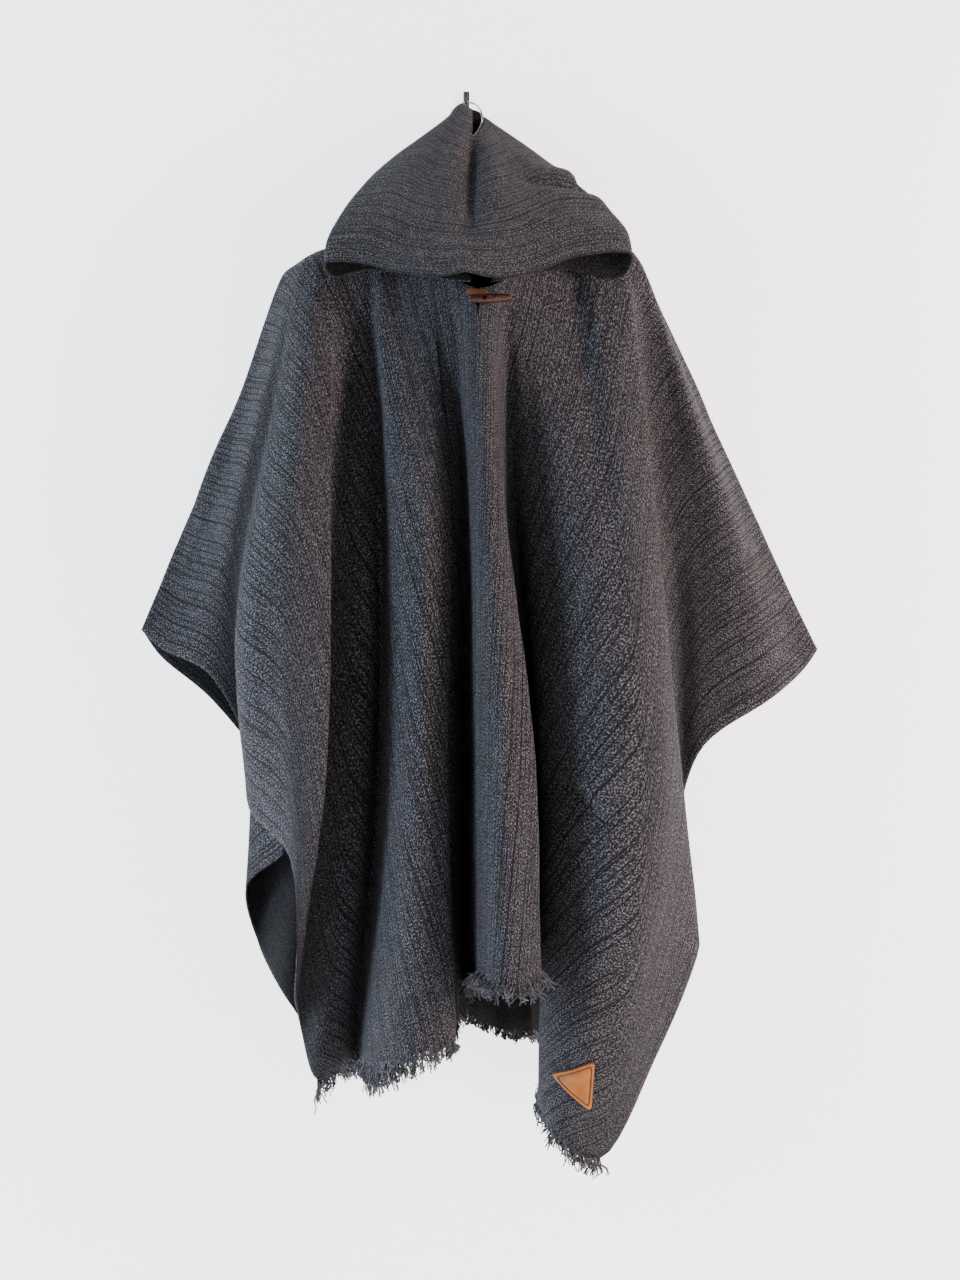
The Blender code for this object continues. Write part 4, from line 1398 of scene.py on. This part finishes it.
def makeTab():
    low, high = np.array(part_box("toggle_tab"))
    bm = bmesh.new()
    bmesh.ops.create_cube(bm, size=1.0)
    bmesh.ops.scale(bm, vec=Vector(high - low), verts=bm.verts)
    bmesh.ops.translate(bm, vec=Vector((low + high) / 2), verts=bm.verts)
    rounding = {"offset": tabShape["bevel"], "segments": tabShape["segments"], "profile": 0.5}
    bmesh.ops.bevel(bm, geom=list(bm.edges), affect="EDGES", **rounding)
    mesh = meshFrom(bm, "tabLeather")
    mesh.set_sharp_from_angle(angle=tabShape["sharp"])
    return addObject("tabLeather", mesh, tabLeather)


place(makeToggle(), "wood", "toggle")
place(makeTab(), "leather", "toggle_tab")
print("toggle and tab made")


# Ring, and the hook's enamel
ringShape = {
    "centre": (-0.001, -0.025, -0.033),
    "radius": 0.024,
    "wire": 0.00125,
    "turn": math.radians(-24),
    "around": 96,
    "sides": 14,
}


def makeRing():
    shape = ringShape
    bm = bmesh.new()
    rings = []
    for x, z in circleOf(shape["around"]):
        ring = []
        for outward, sideways in circleOf(shape["sides"]):
            spot = Vector((x, 0, z)) * (shape["radius"] + shape["wire"] * outward)
            spot.y += shape["wire"] * sideways
            ring.append(bm.verts.new(spot))
        rings.append(ring)
    ringFaces(bm, rings + rings[:1])
    turn = Matrix.Translation(shape["centre"]) @ Matrix.Rotation(shape["turn"], 4, "Z")
    return addObject("ringWire", meshFrom(bm, "ring", turn), ringSteel)


place(makeRing(), "steel", "hang_ring")
frame["nodes"]["wall_hook"].material_slots[0].material = hookIron
print("ring and hook made")


# Pale wall and floor, soft studio light
stage = {
    "wall": 0.004,
    "floor": -1.66,
    "halfWidth": 4.0,
    "front": -4.5,
    "top": 2.6,
    "glow": 2.4,
    "wallColour": "#f7f7f7",
    "floorColour": "#e9e9e9",
    "worldLight": 0.03,
    "middle": (0.02, -0.1, -0.72),
}
# columns: name, place, width and height, watts, colour
lights = (
    ("key", (2.4, -1.20, -0.35), (0.7, 1.6), 120, "#ffe2da"),
    ("fill", (-2.4, -1.15, -0.35), (0.7, 1.6), 92, "#d6e4fa"),
    ("front", (0.9, -2.6, 0.2), (0.8, 0.8), 5, "#ffffff"),
)


def addSheet(name, corners, material):
    mesh = bpy.data.meshes.new(name)
    mesh.from_pydata(corners, [], [(0, 1, 2, 3)])
    addObject(name, mesh, material)


def addStage():
    white = (1, 1, 1, 1)
    paper, _, shader = newMaterial("matt white paint, softly lit")
    setShader(shader, Base_Color=toLinear(stage["wallColour"]), Roughness=0.95)
    setShader(shader, Emission_Color=white, Emission_Strength=stage["glow"])
    floor, _, shader = newMaterial("matt pale floor")
    setShader(shader, Base_Color=toLinear(stage["floorColour"]), Roughness=0.9)
    wide, y, z = stage["halfWidth"], stage["wall"], stage["floor"]
    foot = [(-wide, y, z), (wide, y, z)]
    addSheet("wall", [*foot, (wide, y, stage["top"]), (-wide, y, stage["top"])], paper)
    addSheet("floor", [(-wide, stage["front"], z), (wide, stage["front"], z), *foot[::-1]], floor)
    world = bpy.data.worlds.new("studio")
    world.use_nodes = True
    air = world.node_tree.nodes["Background"]
    setInputs(air, {"Color": white, "Strength": stage["worldLight"]})
    bpy.context.scene.world = world


def addLight(name, spot, size, watts, colourHex):
    data = bpy.data.lights.new(name, "AREA")
    data.shape = "RECTANGLE"
    data.size, data.size_y = size
    data.energy = watts
    data.color = toLinear(colourHex)[:3]
    light = addObject(name, data)
    light.location = spot
    way = Vector(stage["middle"]) - Vector(spot)
    light.rotation_euler = way.to_track_quat("-Z", "Y").to_euler()


addStage()
for row in lights:
    addLight(*row)
print("stage and lights set")
